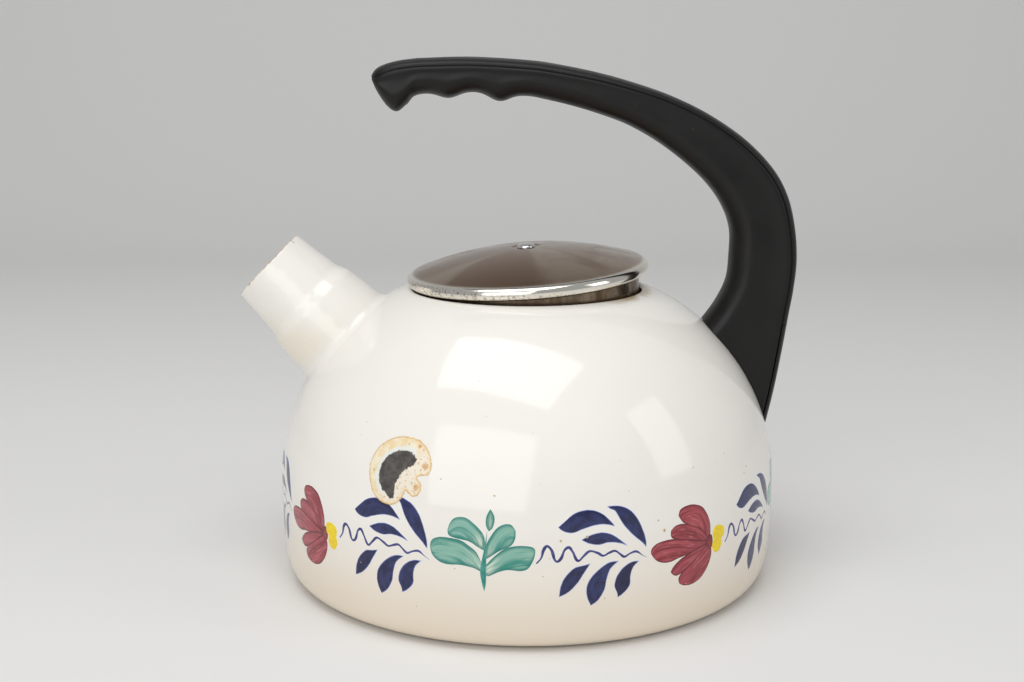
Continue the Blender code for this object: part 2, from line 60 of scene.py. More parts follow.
# Photograph's view
CAMERA_PLACE = Vector((-6.64, -625.2, 226.2)) * MM
CAMERA_DIP = radians(11.2)
CAMERA_LENS = 50
CAMERA_SENSOR = 36

# Room, in metres and watts
STAGE_REACH = 1.6
STAGE_BEND = 0.6
STAGE_TOP = 2.2
STAGE_HALF_WIDTH = 2.4
ROOM_COLOUR = (0.94, 0.96, 1.0, 1)
ROOM_STRENGTH = 0.42
LAMP_TARGET = Vector((0, 0, 0.1))
LAMPS = [
    ("top_softbox", (-0.15, -0.3, 1.25), (1.1, 0.7), 7),
    ("front_softbox", (-0.6, -1.5, 0.7), (1.4, 1.3), 10.5),
    ("side_softbox", (1.3, -0.5, 0.7), (0.5, 0.9), 2.4),
]

# Body, as in the solids
GAP = 0.3 * MM
BODY_RADIUS = 110 * MM
NECK_HEIGHT = 127.1 * MM
BELLY_HEIGHT = 43.4 * MM
BASE_CORNER = 18 * MM
WALL = 1.2 * MM
NECK_BORE = 50.6 * MM
LIP_RADIUS = 1.5 * MM
SHOULDER_SLOPE = radians(15)
COLLAR_DEPTH = 8 * MM
BASE_FLANGE = 6 * MM
PAN_OVERLAP = 4.5 * MM
CORNER_SHARE = 0.90
BELLY_SHARE = 0.538
SHOULDER_SHARE = 0.417
BODY_SIDES = 288

# Spout, as in the solids, with its fillet to the body
SPOUT_SLOPE = radians(44.2)
SPOUT_DROP = 20.1 * MM
SPOUT_LENGTH = 43.1 * MM
SPOUT_TIP_RADIUS = 18.1 * MM
SPOUT_TAPER = 0.105
SPOUT_STEP = 1.7 * MM
SPOUT_STEP_PLACE = 18.8 * MM
SPOUT_STEP_LENGTH = 6.5 * MM
SPOUT_FILLET = 3.0 * MM
FILLET_SHARE = 0.60
SLIT_DEPTH = 2.4 * MM
SLIT_TURN = radians(90 + 23)
SPOUT_SIDES = 144
DENT_SIZE = 7 * MM
DENT_DEPTH = 0.16 * MM
PIT_SIZE = 2.2 * MM
PIT_DEPTH = 0.04 * MM

# Painted band and damage, strokes in millimetres
BAND_PLACE = -6.3 * MM
TENDRIL_PLACE = radians(1.3)
SPRIG_PLACE = radians(-8.9)
FLOWER_PLACE = radians(41.5)
CHIP_PLACE = radians(-43.7)
# One group of leaves with its tendril sits lower than the others
SAG_PLACE = TENDRIL_PLACE + tau / 8
SAG_SPAN = radians(2)
GROUP_SAG = 3.1 * MM
PAINTERS = ("leaves", "tendrils", "sprigs", "stems", "petals", "flower_hearts")
VIOLETS = ((0.030, 0.032, 0.13), (0.075, 0.08, 0.26), (0.42, 0.43, 0.66))
STEM_GREENS = ((0.015, 0.19, 0.16), (0.07, 0.34, 0.28), (0.20, 0.46, 0.40))
YELLOWS = ((0.82, 0.56, 0.003), (0.92, 0.72, 0.006), (0.90, 0.78, 0.20))
STROKE_STATIONS = 26
STROKE_SHARES = (0, 0.04, 0.12, 0.3, 0.5, 0.7, 0.88, 0.96, 1)
TENDRIL_STATIONS = 150
LINE_SHARES = (0, 0.2, 0.5, 0.8, 1)
STROKE_LIFT = 0.035 * MM
STROKE_LAYER = 0.008 * MM
STROKE_SINK = 0.02 * MM
CHIP_LAYERS = ("edge", "bare", "rust", "crumb")
CHIP_STEP = 0.3
CHIP_LIFT = 0.10 * MM
SPECK_LIFT = 0.06 * MM
# Guessed specks: how many, and the spans of their turns in degrees, lengths and sizes
SPECK_SPANS = [
    (110, (75, 285), (-34, 75), (0.25, 0.55)),
    (40, (-75, 75), (-34, 70), (0.18, 0.3)),
]
SPECK_FREE_TURN = 0.5
SPECK_FREE_LENGTH = 45 * MM
SPECK_SIDES = 12

# Handle, as in the solids
HANDLE_NOSE = -67.4 * MM
HANDLE_LENGTH = 186.2 * MM
HANDLE_FOOT = 70.80 * MM
HANDLE_RISE = 156.6 * MM
HANDLE_HALF_WIDTH = 11.5 * MM
HANDLE_CROWN = 3.4 * MM
HANDLE_ROUND = 8 * MM
HANDLE_STEP = 1.1 * MM
CROWN_LIMIT = 0.34
ROUND_LIMIT = 0.45
SEAM_DEPTH = 0.45 * MM
SEAM_ROUND = 1.2 * MM
SIDE_HOLLOW = 0.05
RIDGE_WIDTH = 6 * MM
RIDGE_HEIGHT = 3.4 * MM
BAND_REACH = 10 * MM
COVER_MARGIN = 6 * MM
HANDLE_STATIONS = [
    (0.002, 0.952, 0.004, 0.930, 0.45),
    (0.011, 0.967, 0.015, 0.902, 0.74),
    (0.030, 0.979, 0.036, 0.866, 0.88),
    (0.061, 0.989, 0.058, 0.851, 0.93),
    (0.091, 0.994, 0.082, 0.871, 0.94),
    (0.123, 0.997, 0.113, 0.898, 0.94),
    (0.235, 1.000, 0.232, 0.905, 0.95),
    (0.362, 0.991, 0.355, 0.894, 0.95),
    (0.427, 0.981, 0.400, 0.885, 0.95),
    (0.523, 0.958, 0.471, 0.865, 0.95),
    (0.604, 0.932, 0.532, 0.843, 0.96),
    (0.695, 0.895, 0.597, 0.814, 0.96),
    (0.786, 0.843, 0.666, 0.768, 0.97),
    (0.872, 0.774, 0.735, 0.707, 0.98),
    (0.937, 0.696, 0.788, 0.646, 0.99),
    (0.974, 0.619, 0.823, 0.585, 1.00),
    (0.993, 0.532, 0.841, 0.523, 1.01),
    (1.000, 0.442, 0.842, 0.455, 1.02),
    (0.995, 0.359, 0.837, 0.386, 1.03),
    (0.986, 0.289, 0.818, 0.331, 1.04),
    (0.972, 0.178, 0.787, 0.275, 1.05),
    (0.954, 0.055, 0.738, 0.205, 1.05),
    (0.930, -0.075, 0.690, 0.130, 1.05),
]
HANDLE_RIDGES = [(0.179, 0.78), (0.297, 1.00)]

# Lid, as in the solids
LID_RADIUS = 53.4 * MM
LID_RISE = 11.2 * MM
LID_SHEET = 0.8 * MM
LID_TILT = radians(4.4)
LEAN_TURN = radians(28)
BEAD_RADIUS = 2.8 * MM
SKIRT_PLAY = 1.1 * MM
SLID_SHARE = 0.7
SKIRT_DEPTH = 15 * MM
SKIRT_HEM = 2 * MM
LEAN_RUN = SKIRT_DEPTH * sin(LID_TILT)
SKIRT_RADIUS = NECK_BORE - SKIRT_PLAY - LEAN_RUN / 2
SEAT_RADIUS = 5.2 * MM
SEAT_SINK = 0.5 * MM
SEAT_BLEND = 2 * MM
SPRING_SHEET = 0.6 * MM
RIVET_RADIUS = 1.6 * MM
RIVET_HEAD_RADIUS = 4 * MM
RIVET_HEAD_HEIGHT = 1.7 * MM
RIVET_TAIL_RADIUS = 2.8 * MM
RIVET_TAIL_HEIGHT = 1.1 * MM
LID_SIDES = 192


# Curves in the half plane


def at(radius, height):
    return Vector((radius, height))


def bezier(start, start_handle, end_handle, end, count):
    points = []
    for i in range(count + 1):
        t = i / count
        s = 1 - t
        point = start * s**3 + start_handle * 3 * s * s * t
        points.append(point + end_handle * 3 * s * t * t + end * t**3)
    return points


def arc(centre, radius, first, last, count):
    angles = [first + (last - first) * i / count for i in range(count + 1)]
    return [centre + at(cos(a), sin(a)) * radius for a in angles]


def offset(points, distance):
    """The same path moved to its left by a distance."""
    moved = []
    for i, point in enumerate(points):
        before = points[max(i - 1, 0)]
        after = points[min(i + 1, len(points) - 1)]
        along = (after - before).normalized()
        moved.append(point + at(-along.y, along.x) * distance)
    return moved


def smooth(share):
    share = min(max(share, 0), 1)
    return share * share * (3 - 2 * share)


def lip_centre():
    return at(NECK_BORE + LIP_RADIUS, NECK_HEIGHT - LIP_RADIUS * cos(SHOULDER_SLOPE))


def body_curve(corner_count, shoulder_count, lip_count):
    """The body's outer side from the flat base to the inside of the neck."""
    base = at(BODY_RADIUS - BASE_CORNER, 0)
    corner = at(BODY_RADIUS, 0)
    belly = at(BODY_RADIUS, BELLY_HEIGHT)
    lip = arc(lip_centre(), LIP_RADIUS, pi / 2 - SHOULDER_SLOPE, pi, lip_count)
    neck = lip[0]
    belly_handle = at(BODY_RADIUS, BELLY_HEIGHT + BELLY_SHARE * (neck.y - BELLY_HEIGHT))
    reach = SHOULDER_SHARE * (BODY_RADIUS - neck.x)
    slope = at(cos(SHOULDER_SLOPE), -sin(SHOULDER_SLOPE))
    lower = bezier(base, base.lerp(corner, CORNER_SHARE), corner, belly, corner_count)
    upper = bezier(belly, belly_handle, neck + slope * reach, neck, shoulder_count)
    return lower[:-1] + upper[:-1] + lip


OUTSIDE = body_curve(40, 90, 12)
INSIDE = offset(OUTSIDE, WALL)


def radius_at(side, height):
    """Radius of one side of the wall, below the fold of its neck."""
    rising = [p for p in side if p.x >= lip_centre().x]
    return float(np.interp(height, [p.y for p in rising], [p.x for p in rising], right=0))


def surface_table():
    """Radius and height against length up the outer side from the belly."""
    radii = [p.x for p in OUTSIDE]
    heights = [p.y for p in OUTSIDE]
    lengths = np.concatenate([[0], np.cumsum(np.hypot(np.diff(radii), np.diff(heights)))])
    lengths -= lengths[int(np.argmin(np.abs(np.array(heights) - BELLY_HEIGHT)))]
    return (lengths, radii), (lengths, heights)


SURFACE = surface_table()


# Meshes


def new_object(name, data):
    obj = bpy.data.objects.new(name, data)
    bpy.context.scene.collection.objects.link(obj)
    return obj


def add_object(name, mesh, body, look):
    obj = new_object(name, mesh)
    mesh.materials.append(look)
    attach(obj, body)
    return obj


def new_mesh(bm, name):
    mesh = bpy.data.meshes.new(name)
    bm.to_mesh(mesh)
    bm.free()
    mesh.shade_smooth()
    return mesh


def finish_mesh(bm, name, sharp=40):
    bmesh.ops.recalc_face_normals(bm, faces=bm.faces)
    mesh = new_mesh(bm, name)
    mesh.set_sharp_from_angle(angle=radians(sharp))
    return mesh


def spin(bm, profile, sides, closed=True):
    """Rings of quads from a profile of (radius, height) points. Returns the rows of vertices."""
    rows = []
    for point in profile:
        if point[0] < MM / 100:
            rows.append([bm.verts.new((0, 0, point[1]))])
            continue
        angles = [tau * i / sides for i in range(sides)]
        rows.append(
            [bm.verts.new((point[0] * sin(a), -point[0] * cos(a), point[1])) for a in angles]
        )
    pairs = list(zip(rows, rows[1:]))
    if closed:
        pairs.append((rows[-1], rows[0]))
    for low, high in pairs:
        join_rows(bm, low, high)
    return rows


def join_rows(bm, low, high):
    count = max(len(low), len(high))
    if count == 1:
        return
    for i in range(count):
        j = (i + 1) % count
        corners = [low[i % len(low)], low[j % len(low)], high[j % len(high)], high[i % len(high)]]
        unique = list(dict.fromkeys(corners))
        if len(unique) > 2:
            bm.faces.new(unique)


# Materials


class Wire:
    """A node's output. Sums and products with it add the nodes that work them out."""

    def __init__(self, look, socket):
        self.look = look
        self.socket = socket

    def __add__(self, other):
        return self.look.math("ADD", self, other)

    def __sub__(self, other):
        return self.look.math("SUBTRACT", self, other)

    def __rsub__(self, other):
        return self.look.math("SUBTRACT", other, self)

    def __mul__(self, other):
        return self.look.math("MULTIPLY", self, other)

    def range(self, low, high, to_low, to_high):
        """Softly maps the values from low to high onto others."""
        ends = {"Value": self, "From Min": low, "From Max": high, "To Min": to_low, "To Max": to_high}
        return self.look.add("MapRange", ends, interpolation_type="SMOOTHSTEP")

    def span(self, low, high, most=1.0):
        return self.range(low, high, 0.0, most)


class Look:
    """A node material: most calls add a node and return its output. Its colour is laid on in steps."""

    def __init__(self, name):
        self.material = bpy.data.materials.new(name)
        self.material.use_nodes = True
        self.tree = self.material.node_tree

    @functools.cached_property
    def here(self):
        """The coordinates of its noises."""
        return self.add("TexCoord", {}, "Object")

    def add(self, kind, inputs, output=0, **settings):
        made = self.tree.nodes.new("ShaderNode" + kind)
        for key, value in settings.items():
            setattr(made, key, value)
        for key, value in inputs.items():
            self.feed(made.inputs[key], value)
        return Wire(self, made.outputs[output])

    def feed(self, socket, value):
        if isinstance(value, Wire):
            self.tree.links.new(value.socket, socket)
        elif socket.type == "RGBA":
            socket.default_value = (*value, 1)
        else:
            socket.default_value = value

    def attribute(self, name):
        return self.add("Attribute", {}, "Fac", attribute_name=name)

    def offset(self, vector, by):
        return self.add("VectorMath", {0: vector, 1: by}, operation="ADD")

    def scaled(self, vector, scale):
        return self.add("VectorMath", {0: vector, 1: scale}, operation="MULTIPLY")

    def join(self, x, y, z=0.0):
        return self.add("CombineXYZ", {0: x, 1: y, 2: z})

    def axes(self):
        """X, Y, Z and the distance from the Z axis."""
        x, y, z = (self.add("SeparateXYZ", {0: self.here}, axis) for axis in "XYZ")
        return x, y, z, self.math("SQRT", x * x + y * y)

    def noise(self, scale, detail=3, roughness=0.5, distortion=0, place=None):
        values = {"Vector": place or self.here, "Scale": scale, "Detail": detail}
        values |= {"Roughness": roughness, "Distortion": distortion}
        return self.add("TexNoise", values)

    def math(self, operation, a, b=0.0):
        return self.add("Math", {0: a, 1: b}, operation=operation)

    def mix(self, share, a, b):
        return self.add("Mix", {"Factor": share, 6: a, 7: b}, 2, data_type="RGBA")

    def lay(self, share, colour):
        """Lay a colour over what is there."""
        self.colour = self.mix(share, self.colour, colour)

    def bump(self, height, depth, strength, under=None):
        values = {"Height": height, "Distance": depth, "Strength": strength}
        if under:
            values["Normal"] = under
        return self.add("Bump", values)

    def finish(self, **values):
        shader = self.tree.nodes["Principled BSDF"]
        for key, value in {"Base_Color": self.colour, **values}.items():
            self.feed(shader.inputs[key.replace("_", " ")], value)
        return self.material


def enamel():
    """Cream glaze: faint clouds, a painted reflection of a warm floor towards the base, browned round the
    neck away from the spout, worn at the spout's rim.
    """
    look = Look("cream_enamel")
    x, _, z, from_axis = look.axes()
    look.colour = look.mix(look.noise(18, 4), (0.835, 0.795, 0.725), (0.880, 0.855, 0.800))
    # Painted reflection: warmer and darker towards the base, standing in for a warm floor mirrored in the
    # glaze.
    look.lay(z.span(0.050, 0.002) * 0.75, (0.760, 0.640, 0.485))
    grain = look.noise(420, 5, 0.65)
    patchy = look.noise(75, 5, 0.65)
    # Brown laid round the neck, on the side away from the spout.
    reach = from_axis + (patchy - 0.5) * 0.012
    near = reach.span(0.0570, 0.0515) * z.span(0.1195, 0.1225)
    neck_browning = near * x.span(0.022, 0.046) * 0.85
    look.lay(neck_browning, look.mix(grain, (0.30, 0.20, 0.07), (0.66, 0.53, 0.30)))
    inputs = {0: look.offset(look.here, -ROOT), 1: ALONG}
    along = look.add("VectorMath", inputs, "Value", operation="DOT_PRODUCT")
    worn = (along + (grain - 0.5) * 0.0030).span(SPOUT_LENGTH - 0.0007, SPOUT_LENGTH + 0.0001)
    metal = look.mix(patchy.span(0.35, 0.65), (0.42, 0.24, 0.12), (0.80, 0.60, 0.42))
    look.lay(worn * 0.9, look.mix(grain.span(0.58, 0.66), metal, (0.10, 0.06, 0.04)))
    on_spout = along.span(-0.002, 0.006) * from_axis.span(0.060, 0.066)
    under = (z + patchy * 0.012).span(0.128, 0.108)
    look.lay(on_spout * under * 0.45, (0.82, 0.73, 0.54))
    soft = look.bump(look.noise(45, 2), 0.0004, 0.25)
    peel = look.bump(look.noise(260) * on_spout, 0.00022, 0.7, soft)
    return look.finish(Roughness=patchy.range(0.3, 0.8, 0.07, 0.16), Normal=peel)


def dome_steel():
    """Polished steel with a painted reflection of warm brown surroundings in radial fans and darker smudges,
    a painted reflection of the cream enamel on the rim, dirt under the rim, and fine turned scratches.
    """
    look = Look("steel_with_painted_reflection")
    look.here = look.offset(look.here, -Vector(lid_frame().translation))
    x, y, z, out = look.axes()
    turn = look.math("ARCTAN2", y, x)
    round_axis = look.join(look.math("SINE", turn), look.math("COSINE", turn), out * 6.0)
    # Painted reflection: the brown colour in radial fans stands in for warm brown surroundings mirrored in
    # the polished steel.
    reflection_fan = look.noise(1.45, 2, 0.5, 0.5, round_axis)
    smear = look.noise(55, 5, 0.65, 0.6)
    look.colour = look.mix(reflection_fan.span(0.43, 0.56), (0.215, 0.138, 0.090), (0.34, 0.265, 0.200))
    look.lay(smear.span(0.45, 0.75, 0.5), (0.25, 0.165, 0.110))
    # Painted reflection: the pale cream on the rolled rim stands in for the enamel mirrored in it.
    rim = out.span(LID_RADIUS - 1.35 * BEAD_RADIUS, LID_RADIUS - 0.55 * BEAD_RADIUS)
    look.lay(rim, look.mix(smear, (0.78, 0.73, 0.64), (0.84, 0.81, 0.74)))
    beneath = z.span(-0.45 * BEAD_RADIUS, -0.95 * BEAD_RADIUS) * rim
    grime = look.noise(800, 4, 0.65).span(0.48, 0.62)
    look.lay(beneath * grime * 0.6, (0.16, 0.11, 0.06))
    scratch = look.noise(1.0, 4, 0.7, place=look.join(out * 4000.0, turn))
    return look.finish(
        Metallic=1.0,
        Roughness=smear.range(0.35, 0.8, 0.10, 0.27) - rim * 0.05,
        Anisotropic=0.35,
        Tangent=look.add("Tangent", {}, direction_type="RADIAL", axis="Z"),
        Normal=look.bump(scratch, 0.00002, 0.25),
    )


def rivet_steel():
    look = Look("rivet_steel")
    smudge = look.noise(500, 4)
    look.colour = look.mix(smudge, (0.62, 0.60, 0.58), (0.78, 0.77, 0.75))
    return look.finish(Metallic=1.0, Roughness=smudge.range(0.3, 0.7, 0.08, 0.2))


def skirt_steel():
    """The plug: dark brown steel with vertical streaks and darker spots."""
    look = Look("dark_streaked_steel")
    run = look.noise(1, 5, 0.6, place=look.scaled(look.here, (90, 90, 25)))
    look.colour = look.mix(run.span(0.36, 0.66), (0.105, 0.066, 0.036), (0.25, 0.195, 0.140))
    look.lay(look.noise(300, 4, 0.6).span(0.56, 0.70, 0.7), (0.055, 0.033, 0.016))
    return look.finish(Metallic=0.9, Roughness=run.range(0.3, 0.7, 0.42, 0.16))


def bare_steel():
    look = Look("bare_steel")
    grain = look.noise(1, 4, place=look.scaled(look.here, (40, 400, 400)))
    dull = look.noise(90, 4, 0.6)
    look.colour = look.mix(dull.span(0.35, 0.65), (0.38, 0.36, 0.33), (0.54, 0.53, 0.51))
    return look.finish(Metallic=1.0, Roughness=grain.range(0.2, 0.8, 0.28, 0.5))


def black_plastic():
    """Phenolic moulding: satin, hazed by wear, with fine scratches and a few nicks."""
    look = Look("black_plastic")
    haze = look.noise(60, 5, 0.6)
    look.colour = look.mix(haze, (0.0040, 0.0037, 0.0034), (0.0085, 0.0078, 0.0071))
    slant = look.add("VectorRotate", {0: look.here, "Angle": 0.6}, rotation_type="Y_AXIS")
    fine = look.noise(1, 3, 0.6, place=look.scaled(slant, (120, 900, 2600)))
    look.lay(fine.span(0.70, 0.78) * 0.35, (0.045, 0.043, 0.040))
    look.lay(look.noise(700, 2, 0.4).span(0.775, 0.80) * 0.6, (0.16, 0.15, 0.14))
    soft = look.bump(haze, 0.0002, 0.15)
    return look.finish(
        Roughness=haze.range(0.3, 0.7, 0.34, 0.47),
        Specular_IOR_Level=0.28,
        Normal=look.bump(look.noise(2500, 2), 0.00004, 0.3, soft),
    )


def stroke_look(name, stretch):
    """A look with coordinates along a stroke, and the distance in from its nearer edge in mm."""
    look = Look(name)
    across = look.attribute("across")
    width = look.attribute("width")
    shade = look.attribute("shade")
    look.here = look.join(look.attribute("along") * stretch, across * width, shade * 50.0)
    return look, look.math("MINIMUM", across, 1.0 - across) * width


def painted_leaf():
    """Thick dark indigo with darker blotches and a pale bleed at the edge."""
    look, edge = stroke_look("indigo_brushwork", 0.5)
    cloud = look.noise(0.45, 4, 0.6)
    look.colour = look.mix(cloud.span(0.35, 0.62), (0.013, 0.015, 0.062), (0.026, 0.034, 0.125))
    look.lay(look.noise(2.6, 3, 0.6).span(0.62, 0.72, 0.8), (0.006, 0.005, 0.016))
    look.lay(look.attribute("shade").span(0.55, 0.95) * 0.6, (0.012, 0.009, 0.034))
    ragged = edge + look.noise(1.2, 2) * 0.3
    look.lay(ragged.span(0.62, 0.30), (0.30, 0.36, 0.72))
    look.lay(ragged.span(0.36, 0.18), (0.72, 0.74, 0.84))
    swell = look.bump(edge.span(0.0, 1.2), 0.00008, 0.6)
    return look.finish(Roughness=cloud.range(0.3, 0.7, 0.10, 0.2), Normal=swell)


def painted_sprig():
    """Thin green dragged by a brush: dark at the edges, pale and streaked in the middle."""
    look, edge = stroke_look("green_brushwork", 0.10)
    streak = look.noise(1.5, 4, 0.6, 0.2)
    broad = look.noise(0.42, 2)
    look.colour = look.mix(broad.span(0.38, 0.62), (0.050, 0.27, 0.215), (0.23, 0.46, 0.37))
    look.lay(streak.span(0.50, 0.74, 0.55), (0.50, 0.62, 0.50))
    root = look.attribute("along").span(9.0, 0.5)
    look.lay(root * streak.span(0.38, 0.6) * 0.85, (0.80, 0.82, 0.70))
    ragged = edge + look.noise(0.9, 2) * 0.8
    look.lay(ragged.span(2.6, 0.5, 0.95), (0.020, 0.20, 0.165))
    look.lay(edge.span(0.22, 0.02, 0.9), (0.38, 0.62, 0.56))
    return look.finish(Roughness=0.11, Normal=look.bump(streak, 0.00006, 0.3))


def painted_petal():
    """Madder red dragged from the heart: pink streaks and a dark outer edge."""
    look, edge = stroke_look("red_brushwork", 0.09)
    streak = look.noise(1.6, 4, 0.6, 0.2)
    broad = look.noise(0.5, 2)
    look.colour = look.mix(broad.span(0.3, 0.7), (0.22, 0.018, 0.028), (0.42, 0.070, 0.085))
    look.lay(streak.span(0.52, 0.72, 0.7), (0.60, 0.20, 0.22))
    look.lay(streak.span(0.44, 0.32, 0.7), (0.15, 0.014, 0.030))
    ragged = edge + look.noise(0.8, 2) * 0.5
    look.lay(ragged.span(1.3, 0.45, 0.95), (0.135, 0.008, 0.018))
    look.lay(edge.span(0.16, 0.02, 0.6), (0.40, 0.12, 0.14))
    look.lay(look.attribute("along").span(3.5, 0.5) * 0.8, (0.13, 0.012, 0.020))
    return look.finish(Roughness=0.12, Normal=look.bump(streak, 0.00006, 0.3))


def plain_stroke(name, stretch, cloud, colours, rim, rough):
    """Two clouded colours, and a third as far in from the edge as the rim in mm."""
    look, edge = stroke_look(name, stretch)
    look.colour = look.mix(look.noise(*cloud).span(0.35, 0.65), *colours[:2])
    look.lay(edge.span(rim, 0.05), colours[2])
    return look.finish(Roughness=rough)


def bare_patch():
    """A chip: tan ground coat, a pale fringe, dark oxidised steel and rust."""
    look = Look("chipped_enamel")
    edge, bare, rust, crumb = (look.attribute(key) for key in CHIP_LAYERS)
    grain = look.noise(900, 4, 0.65)
    cloud = look.noise(300, 4, 0.6)
    look.colour = look.mix(cloud.span(0.35, 0.65), (0.84, 0.64, 0.36), (0.88, 0.80, 0.62))
    look.lay(edge.span(0.9, 0.15, 0.9), (0.66, 0.42, 0.16))
    look.lay(grain.span(0.62, 0.75, 0.6), (0.55, 0.33, 0.14))
    near_steel = (bare + cloud).span(-1.9, -0.5)
    look.lay(near_steel * (1.0 - crumb) * 0.85, (0.78, 0.82, 0.78))
    flaky = look.mix(grain.span(0.54, 0.66), (0.86, 0.79, 0.66), (0.50, 0.31, 0.14))
    look.lay(crumb * edge.span(0.5, 2.0, 0.9), flaky)
    ragged = bare + (grain - 0.5) * 1.6
    steel = ragged.span(-0.25, 0.25)
    iron = look.mix(cloud.span(0.3, 0.7), (0.045, 0.038, 0.034), (0.105, 0.092, 0.085))
    look.lay(steel, look.mix(grain.span(0.58, 0.72, 0.5), iron, (0.15, 0.085, 0.05)))
    spot = rust + (grain - 0.5) * 0.9
    look.lay(spot.span(0.25, 0.85, 0.85), (0.66, 0.38, 0.13))
    look.lay(spot.span(0.85, 1.35, 0.8), (0.30, 0.14, 0.05))
    dip = grain * 0.35 - ragged.span(-0.5, 0.4)
    rough = steel.range(0.0, 1.0, 0.30, 0.62)
    return look.finish(Roughness=rough, Normal=look.bump(dip, 0.00025, 0.8))


def rust_speck():
    look = Look("rust_speck")
    reach = look.attribute("ring") + (look.noise(1500) - 0.5) * 0.5
    look.colour = look.mix(reach.span(0.10, 0.50), (0.28, 0.15, 0.07), (0.70, 0.54, 0.34))
    look.lay(reach.span(0.5, 0.95), (0.82, 0.76, 0.66))
    return look.finish(Roughness=0.3)


# Enamel skin: body and spout in one surface, inside and outside


def spout_frame():
    """Root point, direction, and the two directions across the spout: to +Y and to its upper side."""
    height = NECK_HEIGHT - SPOUT_DROP
    root = Vector((-radius_at(OUTSIDE, height), 0, height))
    along = Vector((-cos(SPOUT_SLOPE), 0, sin(SPOUT_SLOPE)))
    across = Vector((0, 1, 0))
    return root, along, across, across.cross(along)


ROOT, ALONG, ACROSS, UPWARD = spout_frame()


def spout_place(turn, out, along):
    """Point at a turn round the spout's axis, a distance out from it and a length along it."""
    return ROOT + ALONG * along + (ACROSS * cos(turn) + UPWARD * sin(turn)) * out


def spout_reading(point):
    """Turn, distance out and length along of a point."""
    ray = point - ROOT
    side = ray.dot(ACROSS)
    up = ray.dot(UPWARD)
    return math.atan2(up, side), hypot(side, up), ray.dot(ALONG)


def spout_radius(along):
    taper = SPOUT_TIP_RADIUS + SPOUT_TAPER * (SPOUT_LENGTH - along)
    return taper + SPOUT_STEP * smooth((SPOUT_STEP_PLACE - along) / SPOUT_STEP_LENGTH + 1 / 2)


def length_to_side(side, turn, out):
    """Length along the spout's axis at which a line beside it enters one side of the wall."""
    low = -SPOUT_LENGTH
    high = SPOUT_LENGTH
    for _ in range(40):
        middle = (low + high) / 2
        point = spout_place(turn, out, middle)
        if hypot(point.x, point.y) > radius_at(side, point.z):
            high = middle
        else:
            low = middle
    return low


def fillet_rows(turn, count):
    """Distances out and lengths along of a soft curve from the body up onto the spout."""
    corner = length_to_side(OUTSIDE, turn, spout_radius(0))
    corner = length_to_side(OUTSIDE, turn, spout_radius(corner))
    out = spout_radius(corner)
    probe = SPOUT_FILLET / 4
    start = at(out + SPOUT_FILLET, length_to_side(OUTSIDE, turn, out + SPOUT_FILLET))
    inward = at(start.x - probe, length_to_side(OUTSIDE, turn, start.x - probe)) - start
    end = at(spout_radius(corner + SPOUT_FILLET), corner + SPOUT_FILLET)
    handle = SPOUT_FILLET * FILLET_SHARE
    downward = at(spout_radius(end.y - probe), end.y - probe) - end
    first = start + inward.normalized() * handle
    second = end + downward.normalized() * handle
    return bezier(start, first, second, end, count)


def weathered(point):
    """The spout's glaze is uneven: push a point out or in a little."""
    turn, _, along = spout_reading(point)
    share = smooth(along / SPOUT_STEP_PLACE)
    push = noise.noise(point / DENT_SIZE) * DENT_DEPTH + noise.noise(point / PIT_SIZE) * PIT_DEPTH
    return point + (ACROSS * cos(turn) + UPWARD * sin(turn)) * push * share


def spout_rows(turns):
    """Rings of points from the body's outer side, up the spout, over its rim and down its bore."""
    fillets = [fillet_rows(turn, 8) for turn in turns]
    rows = [[spout_place(t, *fillet[k]) for t, fillet in zip(turns, fillets)] for k in range(9)]
    common = SPOUT_STEP_PLACE - SPOUT_STEP_LENGTH
    for k in range(1, 7):
        row = []
        for t, fillet in zip(turns, fillets):
            along = fillet[-1].y + (common - fillet[-1].y) * k / 6
            row.append(spout_place(t, spout_radius(along), along))
        rows.append(row)
    shelf = SPOUT_LENGTH - SLIT_DEPTH
    stations = [common + 2 * SPOUT_STEP_LENGTH * k / 16 for k in range(1, 17)]
    stations += [stations[-1] + (shelf - stations[-1]) * k / 8 for k in range(1, 9)]
    stations += [shelf + (SLIT_DEPTH - WALL / 2) * k / 4 for k in range(1, 5)]
    for along in stations:
        rows.append([spout_place(t, spout_radius(along), along) for t in turns])
    middle = spout_radius(SPOUT_LENGTH) - WALL / 2
    for k in range(1, 8):
        angle = pi * k / 8
        out = middle + WALL / 2 * cos(angle)
        along = SPOUT_LENGTH - WALL / 2 + WALL / 2 * sin(angle)
        rows.append([spout_place(t, out, along) for t in turns])
    for along in stations[:15:-1]:
        rows.append([spout_place(t, spout_radius(along) - WALL, along) for t in turns])
    bore = spout_radius(0) - WALL
    for along in (stations[8], stations[0], 0):
        rows.append([spout_place(t, spout_radius(along) - WALL, along) for t in turns])
    rows.append([spout_place(t, bore, length_to_side(INSIDE, t, bore)) for t in turns])
    return [[weathered(point) for point in row] for row in rows]


def fit_ring(bm, wall, ring):
    """Open a wall round the spout's root and fill the strip between the hole and a ring."""
    reach = max(spout_reading(v.co)[1] for v in ring) + BODY_RADIUS / BODY_SIDES
    near = [(v, spout_reading(v.co)) for v in wall]
    cut = [v for v, (_, out, along) in near if along > -SPOUT_LENGTH and out < reach]
    kept = set(wall) - set(cut)
    bmesh.ops.delete(bm, geom=cut, context="VERTS")
    edges = [e for e in bm.edges if len(e.link_faces) == 1 and e.verts[0] in kept]
    edges += [bm.edges.new(pair) for pair in zip(ring, ring[1:] + ring[:1])]
    bmesh.ops.triangle_fill(bm, use_beauty=True, edges=edges, normal=ALONG)


